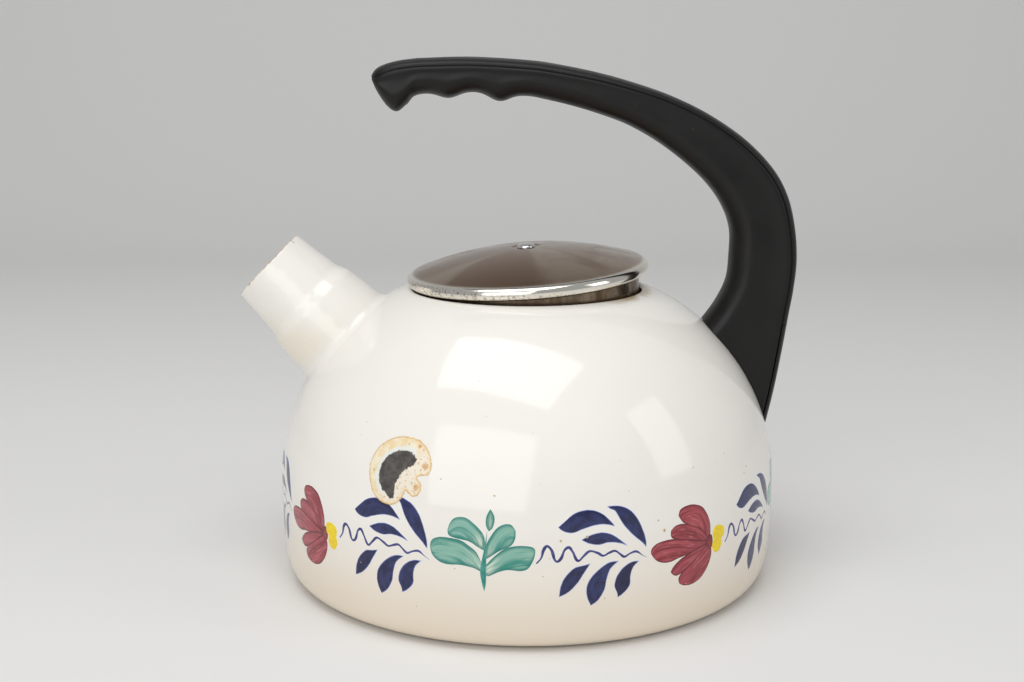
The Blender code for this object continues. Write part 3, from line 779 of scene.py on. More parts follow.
def make_skin(look):
    flange_start = at(BODY_RADIUS - BASE_CORNER - BASE_FLANGE, 0)
    collar_end = lip_centre() + at(-LIP_RADIUS, -COLLAR_DEPTH)
    outside = [flange_start] + OUTSIDE + [collar_end]
    inside = offset([flange_start] + body_curve(20, 60, 6) + [collar_end], WALL)
    bm = bmesh.new()
    wall = spin(bm, outside + inside[::-1], BODY_SIDES)
    turns = [tau * (i + 1 / 2) / SPOUT_SIDES for i in range(SPOUT_SIDES)]
    points = spout_rows(turns)
    rings = [[bm.verts.new(point) for point in row] for row in points]
    fit_ring(bm, [v for row in wall[: len(outside)] for v in row], rings[0])
    fit_ring(bm, [v for row in wall[len(outside) :] for v in row], rings[-1])
    slit = round(SLIT_TURN / tau * SPOUT_SIDES)
    rim = [k for k, row in enumerate(points) if spout_reading(row[0])[2] > SPOUT_LENGTH - SLIT_DEPTH]
    for k, (low, high) in enumerate(zip(rings, rings[1:])):
        for i in range(SPOUT_SIDES):
            j = (i + 1) % SPOUT_SIDES
            if i == slit and rim[0] <= k < rim[-1]:
                continue
            bm.faces.new((low[i], low[j], high[j], high[i]))
    bm.faces.new([rings[k][slit] for k in range(rim[0], rim[-1] + 1)])
    bm.faces.new([rings[k][slit + 1] for k in range(rim[0], rim[-1] + 1)])
    ends = rings[rim[0]], rings[rim[-1]]
    bm.faces.new((ends[0][slit], ends[0][slit + 1], ends[1][slit + 1], ends[1][slit]))
    skin = add_object("enamel_skin", finish_mesh(bm, "enamel_skin"), "kettle", look)
    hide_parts("body_shell", "spout")


# Painted band. A stroke is two edges between a start and an end, in millimetres along and up

TENDRIL = [
    (0, 0.4), (2, 2.8), (2.8, 5.8), (4.2, 7.5), (6, 5.7), (7.1, 2.1), (8.3, 1.2), (9.7, 2.6),
    (10.9, 5.6), (12.6, 6.7), (14.1, 4.8), (15.5, 1.7), (16.7, 1.2), (18.5, 3), (20.8, 4.7),
    (23.8, 3.8), (26.2, 2.4), (28.6, 3.4), (31, 3.9), (33, 2.5), (34.9, 1.1), (37.4, 2.2),
    (40, 2.6), (42.6, 0.8), (44.6, -0.4),
]
LEAVES = [
    [(8.4, 14.4), [(10.9, 16.7), (14.4, 19.5), (18.6, 20.8), (22.7, 20.5), (26.3, 18.7), (29.3, 15.8)],
     [(10.8, 12.6), (14.3, 12), (17.8, 13.2), (22.6, 14.5), (26.8, 14.6)], (31.1, 13.5)],
    [(17.2, 9.5), [(19.6, 10.7), (22.6, 11.7), (26.2, 11.9), (29.8, 10.7), (33.5, 8)], [(20.2, 7.7),
     (24.4, 6.8), (28, 7.4), (32.3, 6.8)], (36.6, 5.1)],
    [(27.5, 21.8), [(30.1, 22), (33.2, 21.6), (36.9, 20), (40, 16.7), (42.5, 11.7), (44.1, 6.7)],
     [(29.4, 20.4), (30.9, 19.7), (32.4, 17), (34.2, 13.9), (37.9, 9.6), (41.8, 6.1)], (44.2, 3.5)],
    [(21.3, -0.2), [(18.5, -0.8), (14.4, -1.8), (10.9, -5.3), (9.2, -8.9)], [(18.5, -4.5), (16.2, -8),
     (12.8, -11.5)], (8.6, -13.6)],
    [(33, -0.1), [(28.7, -0.2), (23.9, -3.1), (20.4, -7.1), (19.4, -10.7), (19.9, -14.4)], [(29.4, -3.1),
     (27.9, -7.2), (27.1, -11.4), (24.7, -15.5)], (21.5, -17.8)],
    [(41.2, -1.2), [(37.5, -1.3), (33.7, -3.5), (31.3, -6.9), (30.6, -10.5), (31.8, -13.2)],
     [(38.5, -3.8), (37.5, -7.1), (37.4, -10.8), (35.2, -13.6)], (32.3, -15.6)],
]
SPRIG_LOBES = [
    [(-0.6, -0.6), [(-2.9, 4.6), (-5.8, 7.1), (-9.3, 9.2), (-14.7, 9.9), (-18.4, 9.7), (-21.2, 8.3)],
     [(-0.9, -3.4), (-4.1, -2.1), (-9.4, -1.2), (-14.8, -1.4), (-18.5, -0.4), (-21.3, 2.3)], (-22, 5.8)],
    [(-0.1, 5.4), [(0.1, 7.8), (-0.2, 10.7), (-1.7, 13.3), (-4.7, 16), (-8, 17.9), (-11.9, 17.5),
     (-13.9, 15.3)], [(-2.8, 6.7), (-6.4, 8.6), (-11.7, 9.3), (-14.4, 10.3)], (-14.8, 12.6)],
    [(-0.2, -1.2), [(2.9, 2.5), (6.4, 5.7), (9.8, 7.3), (13.8, 7.8), (18.1, 7.3)], [(-0.1, -3.9),
     (1.2, -5.1), (4.7, -3.4), (8.7, -2.2), (13.8, -2.5), (16.7, -1.4), (18.7, 2.3)], (19.3, 5.8)],
    [(0, 1.6), [(0.1, 3.6), (0.6, 7.8), (2.4, 11.4), (4.7, 14.5), (7.5, 16), (10.1, 15.8)], [(2.4, 3.1),
     (5.8, 5.4), (9.8, 7.3), (11.6, 10)], (11.8, 13.5)],
    [(1.5, 13), [(0.3, 15.4), (0.5, 18.9)], [(3, 14.4), (3.8, 17.3), (3.4, 19.6)], (2, 21.8)],
]
SPRIG_STEM = [(0.9, 13.3), [(-0.5, 5), (-1.9, -2.5), (-1.2, -8)], [(0.6, 5), (0.6, -2.5), (0.4, -8)],
    (-0.3, -11.3)]
PETALS = [
    [(-0.6, 0), [(-0.3, 5.7), (-1.2, 9.6), (-3, 12.9), (-5.4, 15.6), (-9.7, 17.2), (-13.5, 17.3),
     (-16.8, 16.3)], [(-3.4, 3.1), (-6.1, 6.2), (-10.1, 7.8), (-13.8, 9.8), (-15.7, 11)], (-17.8, 13.9)],
    [(-1.2, 0.1), [(-1.6, 2.4), (-4.4, 5.2), (-7.8, 7.6), (-12, 9.4), (-15.7, 10.5), (-19.3, 10.2)],
     [(-7.9, 1.8), (-13.7, 3), (-19.2, 4.6), (-21.4, 5.9)], (-21.6, 8.5)],
    [(-1.2, -0.2), [(-2.6, 1), (-9.9, 2.8), (-18.3, 4.8), (-23.5, 5.1), (-28.1, 4.4), (-30.5, 2.5)],
     [(-4.8, -1.1), (-11.6, -2.6), (-18, -3.6), (-21.1, -4.3), (-24.9, -4.1), (-28.3, -2.5)],
     (-30.7, 0.6)],
    [(-1.2, -0.8), [(-3.4, -0.2), (-9.7, -1.7), (-15.7, -3.6), (-19.7, -6.2)], [(-8.6, -5.9),
     (-14.1, -9.2), (-17.3, -10.6), (-19.5, -10.3)], (-21.3, -8.5)],
    [(-0.5, -0.6), [(-2, -0.9), (-5.2, -2.6), (-9.8, -5.9), (-14.3, -8.6), (-17.2, -11.6)], [(0.7, -3.9),
     (0.3, -7.2), (-1.6, -10.9), (-5, -14.3), (-9.4, -15.9), (-13.7, -15.7)], (-16.6, -14.3)],
]
HEART_BLOT = [(-1.5, 3.2), [(0.4, 2.6), (1.2, 0.4), (1, -2)], [(-2.2, 1.6), (-2.6, -0.4), (-1.8, -2.2)],
    (-0.4, -3.4)]
DABS = [
    [(1, 3), [(1.8, 5), (4, 5.7), (6.2, 5.2), (7.8, 4.2)], [(1.4, 0.6), (3.4, -0.7), (5.8, -0.8),
     (7.9, 0.4)], (8.4, 2.6)],
    [(0.9, -1.6), [(2.2, 0.4), (4.4, 0.7), (6.3, -0.4)], [(1.1, -3.8), (2.6, -5.6), (4.9, -5.8)],
     (6.9, -3.2)],
]


def on_body(angle, length, lift):
    """Place on the body: angle from -Y towards +X, and length up its outer side from the belly."""
    here, above = ([float(np.interp(s, *column)) for column in SURFACE] for s in (length, length + MM / 10))
    along = (Vector(above) - Vector(here)).normalized()
    point = Vector(here) + at(along.y, -along.x) * lift
    return Vector((point.x * sin(angle), -point.x * cos(angle), point.y))


def through(points, count):
    """Points evenly spaced along a smooth curve through the given ones."""
    given = np.array(points, float)
    dense = []
    for i in range(len(given) - 1):
        a, b, c, d = (given[min(max(i + k, 0), len(given) - 1)] for k in (-1, 0, 1, 2))
        for t in np.arange(12) / 12:
            bend = (2 * a - 5 * b + 4 * c - d) * t * t + (3 * b - a - 3 * c + d) * t**3
            dense.append(b + ((c - a) * t + bend) / 2)
    dense = np.array(dense + [given[-1]])
    run = np.concatenate([[0], np.cumsum(np.hypot(*np.diff(dense[:, :2], axis=0).T))])
    even = np.linspace(0, run[-1], count)
    return np.column_stack([np.interp(even, run, column) for column in dense.T])


class Painter:
    """Collects the strokes of one colour in one mesh that lies on the enamel."""

    def __init__(self, name, seed):
        self.name = name
        self.bm = bmesh.new()
        names = ("along", "across", "width", "shade")
        self.layers = [self.bm.verts.layers.float.new(key) for key in names]
        self.random = random.Random(seed)

    def stroke(self, left, right, angle, level=0, shares=STROKE_SHARES):
        """Lay a grid between two edges, its border sunk into the enamel."""
        sag = GROUP_SAG if abs(angle - SAG_PLACE) < SAG_SPAN else 0
        wander = self.random.uniform(0, 1)
        run = 0
        rows = []
        for i, (p, q) in enumerate(zip(left, right)):
            if i:
                run += float(np.hypot(*((p + q) / 2 - (left[i - 1] + right[i - 1]) / 2)))
            width = float(np.hypot(*(p - q)))
            row = []
            for share in shares:
                x, y = p + (q - p) * share
                border = share in (0, 1) or i in (0, len(left) - 1)
                lift = -STROKE_SINK if border else STROKE_LIFT + level * STROKE_LAYER
                place = on_body(angle + x * MM / BODY_RADIUS, y * MM + BAND_PLACE - sag, lift)
                vert = self.bm.verts.new(place)
                for layer, value in zip(self.layers, (run, share, width, wander)):
                    vert[layer] = value
                row.append(vert)
            rows.append(row)
        for low, high in zip(rows, rows[1:]):
            for i in range(len(shares) - 1):
                self.bm.faces.new((low[i], low[i + 1], high[i + 1], high[i]))

    def brush(self, start, left, right, end, angle, level=0, stray=0):
        """One stroke, with its middle moved and turned a little where stray isn't 0."""
        move = np.array([self.random.gauss(0, 0.45), self.random.gauss(0, 0.35)]) * stray
        turn = self.random.gauss(0, radians(2)) * stray
        grow = 1 + self.random.gauss(0, 0.03) * stray
        spin_by = np.array([[cos(turn), sin(turn)], [-sin(turn), cos(turn)]])
        pivot = (np.array(start) + np.array(end)) / 2
        edges = [through([start, *side, end], STROKE_STATIONS) for side in (left, right)]
        edges = [(edge - pivot) @ spin_by * grow + pivot + move for edge in edges]
        self.stroke(*edges, angle, level)

    def line(self, points, width, angle, level=0):
        """A thin brush line, thick at its start and thin at its end."""
        middle = through(points, TENDRIL_STATIONS)
        ahead = np.gradient(middle, axis=0)
        ahead /= np.hypot(*ahead.T)[:, None]
        side = np.column_stack([-ahead[:, 1], ahead[:, 0]])
        places = np.linspace(0, 1, TENDRIL_STATIONS)
        half = width / 2 * (1 - 0.3 * places)
        half *= np.clip(14 * places, 0.5, 1) * np.clip(14 * (1 - places), 0.3, 1)
        half = half * (1 + 0.15 * np.sin(places * 71))
        self.stroke(middle + side * half[:, None], middle - side * half[:, None], angle, level, LINE_SHARES)

    def done(self, look):
        bmesh.ops.remove_doubles(self.bm, verts=self.bm.verts, dist=MM / 500)
        for face in self.bm.faces:
            centre = face.calc_center_median()
            if face.normal.dot(Vector((centre.x, centre.y, 0))) < 0:
                face.normal_flip()
        add_object(self.name, new_mesh(self.bm, self.name), "kettle", look)


def make_band(looks):
    """Eight groups of leaves, with sprigs and flowers by turns. One look for each painter, in order."""
    painters = [Painter("painted_" + name, seed) for seed, name in enumerate(PAINTERS, 3)]
    leaves, tendrils, sprigs, stems, petals, dabs = painters
    for k in range(8):
        angle = TENDRIL_PLACE + tau * k / 8
        stray = 0.3 if k == 0 else 1
        tendrils.line([(x, y * (1 + 0.05 * sin(k * x))) for x, y in TENDRIL], 1.4, angle)
        for leaf in LEAVES:
            leaves.brush(*leaf, angle, 1, stray)
        if k % 2:
            angle = SPRIG_PLACE + tau * (k - 1) / 8
            for level, lobe in enumerate(SPRIG_LOBES):
                sprigs.brush(*lobe, angle, 1 + level, 0.3 * stray)
            stems.brush(*SPRIG_STEM, angle, 7)
            continue
        angle = FLOWER_PLACE + tau * k / 8
        for level, petal in zip((5, 3, 4, 2, 1), PETALS):
            petals.brush(*petal, angle, level, 0.3 * stray)
        petals.brush(*HEART_BLOT, angle, 6, 0.3 * stray)
        for level, dab in enumerate(DABS):
            dabs.brush(*dab, angle, 7 + level, stray)
    for painter, look in zip(painters, looks):
        painter.done(look)


# Damage: one large chip, and small rust specks

CHIP_RING = [
    (29.3, 46.5), (34.5, 46.1), (38.7, 44.5), (41.6, 41.6), (43.4, 38), (43.6, 34.7), (42.5, 32.4),
    (40.2, 32.2), (38, 31.1), (39.2, 29.7), (40.3, 27.5), (39.1, 24.6), (36.6, 23.6), (35, 24.6),
    (33.1, 25.4), (32.7, 23.8), (31.7, 22.3), (30, 20.4), (27.2, 19.1), (23.7, 19.3), (20.7, 20.5),
    (18.2, 22.4), (16.2, 25.9), (14.9, 29.8), (14.5, 33.8), (15.5, 37.4), (17.6, 41), (21, 43.8),
    (25.1, 45.7),
]
CHIP_STEEL = [
    (31.8, 40.9), (34.4, 40.3), (36.6, 37.9), (35.6, 35.8), (33.5, 34.6), (31.3, 33), (30, 30.8),
    (28.6, 28.4), (28.3, 26), (28.5, 23.8), (27.7, 21.9), (25.5, 22.2), (23.2, 24.1), (21.3, 26.1),
    (20.1, 29.4), (20.1, 32.3), (21.1, 35.4), (23.4, 38.3), (25.9, 39.9), (28.6, 40.7),
]
CHIP_RUST = [(40.9, 35.8, 1.7), (37.8, 27.5, 1.6), (31.9, 43.7, 0.5), (17, 31.5, 0.6), (37.2, 43.2, 1.1)]
SPECKS = [
    (-7.1, 20.4, 0.5), (-18.6, 25.4, 0.4), (-23.6, -26.8, 0.4), (-15.1, -9.1, 0.4), (48.3, 27.2, 0.4),
    (37.5, 25.2, 0.4), (56.3, 18.4, 0.6), (54.8, 16.2, 0.5), (27.2, 7.4, 0.5), (6.2, 3.1, 0.6),
    (2.7, -11, 0.4), (15.4, -21.3, 0.5), (48.2, -17.2, 0.4), (11.5, 4.2, 0.7), (28.6, 3, 0.8),
]


def depth_inside(points, outline):
    """Distance in from a closed outline for each point, negative outside it."""
    a = np.array(outline, float)
    b = np.roll(a, -1, axis=0)
    ray = points[:, None, :] - a[None]
    edge = (b - a)[None]
    share = np.clip((ray * edge).sum(2) / (edge**2).sum(2), 0, 1)
    gap = np.hypot(*np.moveaxis(ray - share[..., None] * edge, 2, 0)).min(1)
    crosses = (a[None, :, 1] > points[:, None, 1]) != (b[None, :, 1] > points[:, None, 1])
    rise = np.where(edge[..., 1] == 0, 1, edge[..., 1])
    reach = a[None, :, 0] + (points[:, None, 1] - a[None, :, 1]) / rise * edge[..., 0]
    inside = (crosses & (points[:, None, 0] < reach)).sum(1) % 2 == 1
    return np.where(inside, gap, -gap)


def make_chip(look):
    ring = through(CHIP_RING + CHIP_RING[:1], 160)[:-1]
    steel = through(CHIP_STEEL + CHIP_STEEL[:1], 120)[:-1]
    low = ring.min(axis=0) - CHIP_STEP
    columns, rows = (int(n) + 2 for n in (ring.max(axis=0) - low) / CHIP_STEP)
    steps = [(i, j) for j in range(rows) for i in range(columns)]
    grid = low + np.array(steps) * CHIP_STEP
    waver = np.array([noise.noise((x, y, 0)) * 0.35 + noise.noise((3 * x, 3 * y, 5)) * 0.15 for x, y in grid])
    edge = depth_inside(grid, ring) + waver
    bare = depth_inside(grid, steel) + 1.2 * waver
    rust = np.zeros(len(grid))
    for x, y, size in CHIP_RUST:
        rust += np.exp(-((grid[:, 0] - x) ** 2 + (grid[:, 1] - y) ** 2) / size**2)
    crumb = np.clip((grid[:, 0] - 30 - 0.8 * (grid[:, 1] - 34)) / 5, 0, 1)
    bm = bmesh.new()
    layers = [bm.verts.layers.float.new(key) for key in CHIP_LAYERS]
    verts = []
    for i, (x, y) in enumerate(grid):
        rim = smooth(edge[i] / 0.4) * (1 - 0.5 * smooth((edge[i] - 0.4) / 1.2))
        lift = CHIP_LIFT * rim + STROKE_LIFT - STROKE_SINK * 6 * (edge[i] < 0)
        vert = bm.verts.new(on_body(CHIP_PLACE + x * MM / BODY_RADIUS, y * MM + BAND_PLACE, lift))
        for layer, values in zip(layers, (edge, bare, rust, crumb)):
            vert[layer] = values[i]
        verts.append(vert)
    for j in range(rows - 1):
        for i in range(columns - 1):
            corners = [j * columns + i, j * columns + i + 1, (j + 1) * columns + i + 1, (j + 1) * columns + i]
            if max(edge[k] for k in corners) > 0:
                bm.faces.new([verts[k] for k in corners])
    bmesh.ops.delete(bm, geom=[v for v in bm.verts if not v.link_faces], context="VERTS")
    add_object("enamel_chip", new_mesh(bm, "enamel_chip"), "kettle", look)


def make_specks(look):
    """Small rust specks: flat domes with a stain round them."""
    chance = random.Random(11)
    places = [(radians(a), s * MM, size * MM) for a, s, size in SPECKS]
    for count, turns, lengths, sizes in SPECK_SPANS:
        for _ in range(count):
            angle = chance.uniform(*map(radians, turns))
            places.append((angle, chance.uniform(*lengths) * MM, chance.uniform(*sizes) * MM))
    bm = bmesh.new()
    ring_layer = bm.verts.layers.float.new("ring")
    for angle, length, size in places:
        at_spout = abs(math.remainder(angle + pi / 2, tau)) < SPECK_FREE_TURN
        if at_spout and length > SPECK_FREE_LENGTH:
            continue
        rows = [[bm.verts.new(on_body(angle, length, SPECK_LIFT))]]
        for share in (0.35, 0.7, 1):
            row = []
            for i in range(SPECK_SIDES):
                turn = tau * i / SPECK_SIDES
                wave = 1 + 0.25 * noise.noise((cos(turn) + angle * 40, sin(turn), share))
                out = size * share * wave * 1.15
                x, y = out * cos(turn), out * sin(turn)
                lift = SPECK_LIFT * (1 - share) - STROKE_SINK * (share == 1) + STROKE_LIFT * (share < 1)
                vert = bm.verts.new(on_body(angle + x / BODY_RADIUS, length + y, lift))
                vert[ring_layer] = share
                row.append(vert)
            rows.append(row)
        for low, high in zip(rows, rows[1:]):
            join_rows(bm, low, high)
    add_object("rust_specks", finish_mesh(bm, "rust_specks"), "kettle", look)


# Handle and cover: one loft along the grip, trimmed to the body and parted at the cover


def handle_rows():
    """Outer point, inner point and half width at each ring, close together."""
    rows = []
    for ox, oz, ix, iz, width in HANDLE_STATIONS:
        outer = (HANDLE_NOSE + ox * HANDLE_LENGTH, HANDLE_FOOT + oz * HANDLE_RISE)
        inner = (HANDLE_NOSE + ix * HANDLE_LENGTH, HANDLE_FOOT + iz * HANDLE_RISE)
        rows.append((*outer, *inner, width * HANDLE_HALF_WIDTH))
    span = sum(math.dist(p[:2], q[:2]) for p, q in zip(rows, rows[1:]))
    stations = through(rows, round(span / HANDLE_STEP))
    for station in stations:
        for share, height in HANDLE_RIDGES:
            away = (station[2] - HANDLE_NOSE - share * HANDLE_LENGTH) / RIDGE_WIDTH
            station[3] -= RIDGE_HEIGHT * height * math.exp(-away * away)
    return stations


def handle_ring(station):
    """Crowned outer edge, a groove beside a soft ridge, a slightly hollow side and a round inner edge."""
    ox, oz, ix, iz, width = station
    inner = Vector((ix, 0, iz))
    up = Vector((ox, 0, oz)) - inner
    height = up.length
    up.normalize()
    crown = min(HANDLE_CROWN, CROWN_LIMIT * height)
    rounding = min(HANDLE_ROUND, ROUND_LIMIT * height)
    groove = SEAM_DEPTH * crown / HANDLE_CROWN
    shoulder = height - crown
    half = []
    for i in range(9):
        angle = pi / 2 * i / 8
        half.append((shoulder + crown * cos(angle) ** 0.9, (width - groove) * sin(angle)))
    half.append((shoulder - groove / 2, width - 2 * groove))
    half.append((shoulder - groove, width - 2 * groove))
    for i in range(5):
        angle = pi / 2 * (1 - i / 4)
        side = width - 2 * groove + 2 * groove * cos(angle)
        half.append((shoulder - groove - SEAM_ROUND * (1 - sin(angle)), side))
    top = half[-1][0]
    for i in range(1, 9):
        share = i / 9
        hollow = SIDE_HOLLOW * width * sin(pi * share)
        half.append((top + (rounding - top) * share, width - hollow * (1 - 0.4 * share)))
    for i in range(11):
        angle = pi / 2 * i / 10
        side = width * max(cos(angle), 0) ** 0.85 if i < 10 else 0
        half.append((rounding * (1 - sin(angle) ** 1.1), side))
    other = [(level, -side) for level, side in half[-2:0:-1]]
    return [inner + up * level + Vector((0, side, 0)) for level, side in half + other]


def handle_solid(name, stations):
    bm = bmesh.new()
    rings = [[bm.verts.new(point) for point in handle_ring(station)] for station in stations]
    bm.faces.new(rings[0])
    bm.faces.new(rings[-1])
    for low, high in zip(rings, rings[1:]):
        join_rows(bm, low, high)
    return finish_mesh(bm, name, 50)


def cut(obj, tool, operation="DIFFERENCE"):
    """Apply a boolean, and delete its tool."""
    change = obj.modifiers.new("cut", "BOOLEAN")
    change.operation = operation
    change.solver = "EXACT"
    change.object = tool
    graph = bpy.context.evaluated_depsgraph_get()
    mesh = bpy.data.meshes.new_from_object(obj.evaluated_get(graph))
    obj.modifiers.clear()
    obj.data = mesh
    bpy.data.objects.remove(tool)


def envelope():
    """The body, one clearance larger."""
    bm = bmesh.new()
    side = offset(body_curve(24, 60, 6), -GAP)
    spin(bm, [at(0, -GAP)] + side + [at(0, side[-1].y)], BODY_SIDES, False)
    return new_object("body_envelope", finish_mesh(bm, "body_envelope"))


def back_band(stations, depth, top):
    """Everything within a depth of the handle's back edge, below a height."""
    edge = [Vector(s[:2]) for s in stations if s[0] > BODY_RADIUS / 2]
    last = [p for p in edge if p.y >= top][-1]
    back = [p for p in edge if p.y < top]
    start = last.lerp(back[0], (last.y - top) / (last.y - back[0].y))
    back = [start] + back
    outside = offset(back, BAND_REACH)
    inside = offset(back, -depth)
    outside[0].y = top
    inside[0].y = top
    outline = outside + inside[::-1]
    bm = bmesh.new()
    sides = []
    for y in (-2 * HANDLE_HALF_WIDTH, 2 * HANDLE_HALF_WIDTH):
        sides.append([bm.verts.new((p.x, y, p.y)) for p in outline])
        bm.faces.new(sides[-1])
    join_rows(bm, *sides)
    return new_object("back_band", finish_mesh(bm, "back_band"))


def pocket():
    """Room for the fixing bracket and the two screws with their heads."""
    bm = bmesh.new()
    low, high = (Vector(corner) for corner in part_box("handle_bracket"))
    middle = (low + high) / 2
    size = high - low + Vector((2 * GAP, 2 * GAP, 2 * GAP))
    place = Matrix.LocRotScale(middle, None, size)
    bmesh.ops.create_cube(bm, size=1, matrix=place)
    for node in ("handle_screw_lower", "handle_screw_upper"):
        low, high = (Vector(corner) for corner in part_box(node))
        middle = (low + high) / 2
        radius = (high.y - low.y) / 2 + GAP
        length = high.x - low.x + 2 * GAP + BAND_REACH
        place = Matrix.Translation(middle + Vector((BAND_REACH / 2, 0, 0)))
        place @= Matrix.Rotation(pi / 2, 4, "Y")
        bmesh.ops.create_cone(
            bm, cap_ends=True, segments=24, radius1=radius, radius2=radius, depth=length, matrix=place
        )
    return new_object("fixing_pocket", finish_mesh(bm, "fixing_pocket"))


def make_handle(look):
    stations = handle_rows()
    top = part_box("handle_cover")[1][2]
    handle = add_object("grip", handle_solid("grip", stations), "kettle", look)
    cut(handle, envelope())
    cut(handle, back_band(stations, HANDLE_CROWN + GAP, top + GAP))
    cut(handle, pocket())
    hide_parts("handle")
    lower = [s for s in stations if s[0] > BODY_RADIUS / 2 and s[1] < top + COVER_MARGIN]
    cover = add_object("grip_cover", handle_solid("grip_cover", lower), "kettle", look)
    cut(cover, back_band(stations, HANDLE_CROWN, top), "INTERSECT")
    cut(cover, envelope())
    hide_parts("handle_cover")
    for obj in (handle, cover):
        obj.data.set_sharp_from_angle(angle=radians(50))


# Lid, in its own leaning frame


def lid_frame():
    drop = (LID_RADIUS - BEAD_RADIUS) * sin(LID_TILT) + BEAD_RADIUS
    height = lip_centre().y + LIP_RADIUS + GAP + drop
    lean = Matrix.Rotation(LEAN_TURN, 4, "Z") @ Matrix.Rotation(-LID_TILT, 4, "Y")
    back = LEAN_RUN / 2
    slid = SLID_SHARE * SKIRT_PLAY
    x = slid - back * cos(LEAN_TURN)
    y = -back * sin(LEAN_TURN)
    return Matrix.Translation((x, y, height)) @ lean


def dome_height(across, inset):
    edge = LID_RADIUS - BEAD_RADIUS
    rise = LID_RISE - BEAD_RADIUS
    radius = (edge * edge + rise * rise) / (2 * rise)
    return LID_RISE - radius + math.sqrt((radius - inset) ** 2 - across * across)


def make_lid_piece(name, profile, look, node, closed=True):
    bm = bmesh.new()
    spin(bm, profile, LID_SIDES, closed)
    mesh = finish_mesh(bm, name, 35)
    mesh.transform(lid_frame())
    piece = add_object(name, mesh, "lid", look)
    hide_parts(node)


def make_lid(dome_look, rim_look, skirt_look):
    hole = RIVET_RADIUS + GAP
    seat = LID_RISE - SEAT_SINK
    blend = SEAT_RADIUS + SEAT_BLEND
    edge = LID_RADIUS - BEAD_RADIUS
    inner_edge = SKIRT_RADIUS + GAP
    outer = [at(hole, seat), at(SEAT_RADIUS, seat)]
    outer += bezier(
        at(SEAT_RADIUS, seat),
        at(SEAT_RADIUS + SEAT_BLEND / 2, seat),
        at(blend - SEAT_BLEND / 2, dome_height(blend - SEAT_BLEND / 2, 0)),
        at(blend, dome_height(blend, 0)),
        8,
    )[1:]
    places = [blend + (edge - blend) * i / 40 for i in range(1, 40)]
    outer += [at(r, dome_height(r, 0)) for r in places]
    slope = math.atan2(dome_height(edge - MM, 0) - dome_height(edge, 0), MM)
    bead = arc(at(edge, 0), BEAD_RADIUS, pi / 2 - slope, -pi / 2, 24)
    curl = [
        at((edge + inner_edge) / 2, -BEAD_RADIUS),
        at(inner_edge, -BEAD_RADIUS / 2),
        at(inner_edge, dome_height(inner_edge, LID_SHEET)),
    ]
    inner = [at(r, dome_height(r, LID_SHEET)) for r in reversed(places) if r < inner_edge]
    inner += [at(SEAT_RADIUS, seat - LID_SHEET), at(hole, seat - LID_SHEET)]
    make_lid_piece("lid_top", outer + bead + curl + inner, dome_look, "lid_dome")
    inside = SKIRT_RADIUS - LID_SHEET
    top = dome_height(SKIRT_RADIUS, LID_SHEET) - GAP
    hem = inside - SKIRT_HEM
    foot = arc(at(inside, LID_SHEET - SKIRT_DEPTH), LID_SHEET, 0, -pi / 2, 6)
    skirt = [at(SKIRT_RADIUS, top)] + foot
    skirt += [at(hem, -SKIRT_DEPTH), at(hem, LID_SHEET - SKIRT_DEPTH)]
    skirt += [at(inside, LID_SHEET - SKIRT_DEPTH), at(inside, top)]
    make_lid_piece("lid_plug", skirt, skirt_look, "lid_skirt")
    seat += GAP
    under = LID_RISE - SEAT_SINK - 2 * LID_SHEET - SPRING_SHEET - 3 * GAP
    head = []
    for i in range(17):
        angle = pi / 2 * i / 16
        head.append((RIVET_HEAD_RADIUS * sin(angle), seat + RIVET_HEAD_HEIGHT * cos(angle)))
    shank = [(RIVET_RADIUS, seat), (RIVET_RADIUS, under)]
    tail = []
    for angle in np.linspace(0, pi / 2, 9):
        across = RIVET_TAIL_RADIUS * cos(angle)
        tail.append((across, under - RIVET_TAIL_HEIGHT * sin(angle)))
    make_lid_piece("lid_knob_rivet", head + shank + tail, rim_look, "lid_rivet", False)


def make_base(look):
    """The pan that closes the body from below."""
    disc = BODY_RADIUS - BASE_CORNER - BASE_FLANGE - 2 * GAP
    rim = disc + PAN_OVERLAP
    under = WALL + GAP
    round_edge = arc(at(disc - WALL / 2, WALL / 2), WALL / 2, -pi / 2, 0, 6)
    profile = [at(0, 0)] + round_edge
    profile += [at(disc, under), at(rim, under), at(rim, under + WALL)]
    profile += [at(disc - WALL, under + WALL), at(disc - WALL, WALL), at(0, WALL)]
    bm = bmesh.new()
    spin(bm, profile, BODY_SIDES, False)
    base = add_object("base_disc", finish_mesh(bm, "base_disc"), "kettle", look)
    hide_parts("base_pan")


# Stage, light and camera


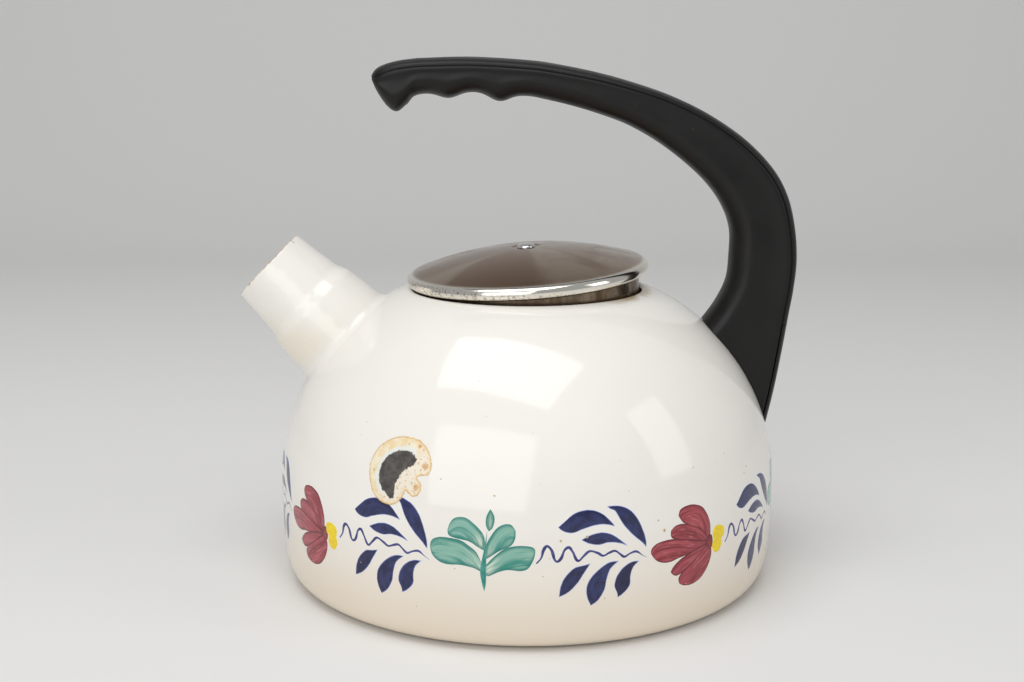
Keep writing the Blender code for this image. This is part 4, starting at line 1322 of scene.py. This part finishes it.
def make_stage():
    """A floor that bends up into a back wall."""
    bm = bmesh.new()
    end = STAGE_REACH - STAGE_BEND
    profile = [at(-STAGE_REACH, 0), at(end, 0)]
    profile += arc(at(end, STAGE_BEND), STAGE_BEND, -pi / 2, 0, 24)[1:]
    profile.append(at(STAGE_REACH, STAGE_TOP))
    left = [bm.verts.new((-STAGE_HALF_WIDTH, p.x, p.y - GAP / 2)) for p in profile]
    right = [bm.verts.new((STAGE_HALF_WIDTH, p.x, p.y - GAP / 2)) for p in profile]
    for i in range(len(profile) - 1):
        bm.faces.new((left[i], right[i], right[i + 1], left[i + 1]))
    mesh = finish_mesh(bm, "floor")
    look = Look("floor_paper")
    look.colour = (0.80, 0.79, 0.77)
    mesh.materials.append(look.finish(Roughness=0.9))
    new_object("floor", mesh)


def make_light(name, place, size, watts):
    data = bpy.data.lights.new(name, "AREA")
    data.shape = "RECTANGLE"
    data.size, data.size_y = size
    data.energy = watts
    light = new_object(name, data)
    light.location = place
    light.rotation_euler = (LAMP_TARGET - Vector(place)).to_track_quat("-Z", "Y").to_euler()


def make_world():
    world = bpy.data.worlds.new("room")
    bpy.context.scene.world = world
    world.use_nodes = True
    sky = world.node_tree.nodes["Background"]
    sky.inputs["Color"].default_value = ROOM_COLOUR
    sky.inputs["Strength"].default_value = ROOM_STRENGTH


def make_camera():
    data = bpy.data.cameras.new("camera")
    data.lens = CAMERA_LENS
    data.sensor_width = CAMERA_SENSOR
    camera = new_object("camera", data)
    camera.location = CAMERA_PLACE
    camera.rotation_euler = (pi / 2 - CAMERA_DIP, 0, 0)
    bpy.context.scene.camera = camera


bpy.context.scene.view_settings.view_transform = "Standard"
make_camera()
make_world()
make_stage()
for lamp in LAMPS:
    make_light(*lamp)

looks = {
    "enamel": enamel(),
    "handle_plastic": black_plastic(),
    "polished_steel": dome_steel(),
    "bare_steel": bare_steel(),
}
for part in frame["record"]["subparts"]:
    node = frame["nodes"][part["node"]]
    for slot in node.material_slots:
        slot.material = looks[part["material_slot"]]
make_skin(looks["enamel"])
make_base(looks["enamel"])
make_handle(looks["handle_plastic"])
make_lid(looks["polished_steel"], rivet_steel(), skirt_steel())
make_band(
    [
        painted_leaf(),
        plain_stroke("violet_line", 0.7, (0.5, 3), VIOLETS, 0.22, 0.12),
        painted_sprig(),
        plain_stroke("green_stem", 0.15, (1.5, 3), STEM_GREENS, 0.25, 0.12),
        painted_petal(),
        plain_stroke("yellow_brushwork", 0.6, (0.9, 4, 0.65), YELLOWS, 0.35, 0.14),
    ]
)
make_chip(bare_patch())
make_specks(rust_speck())
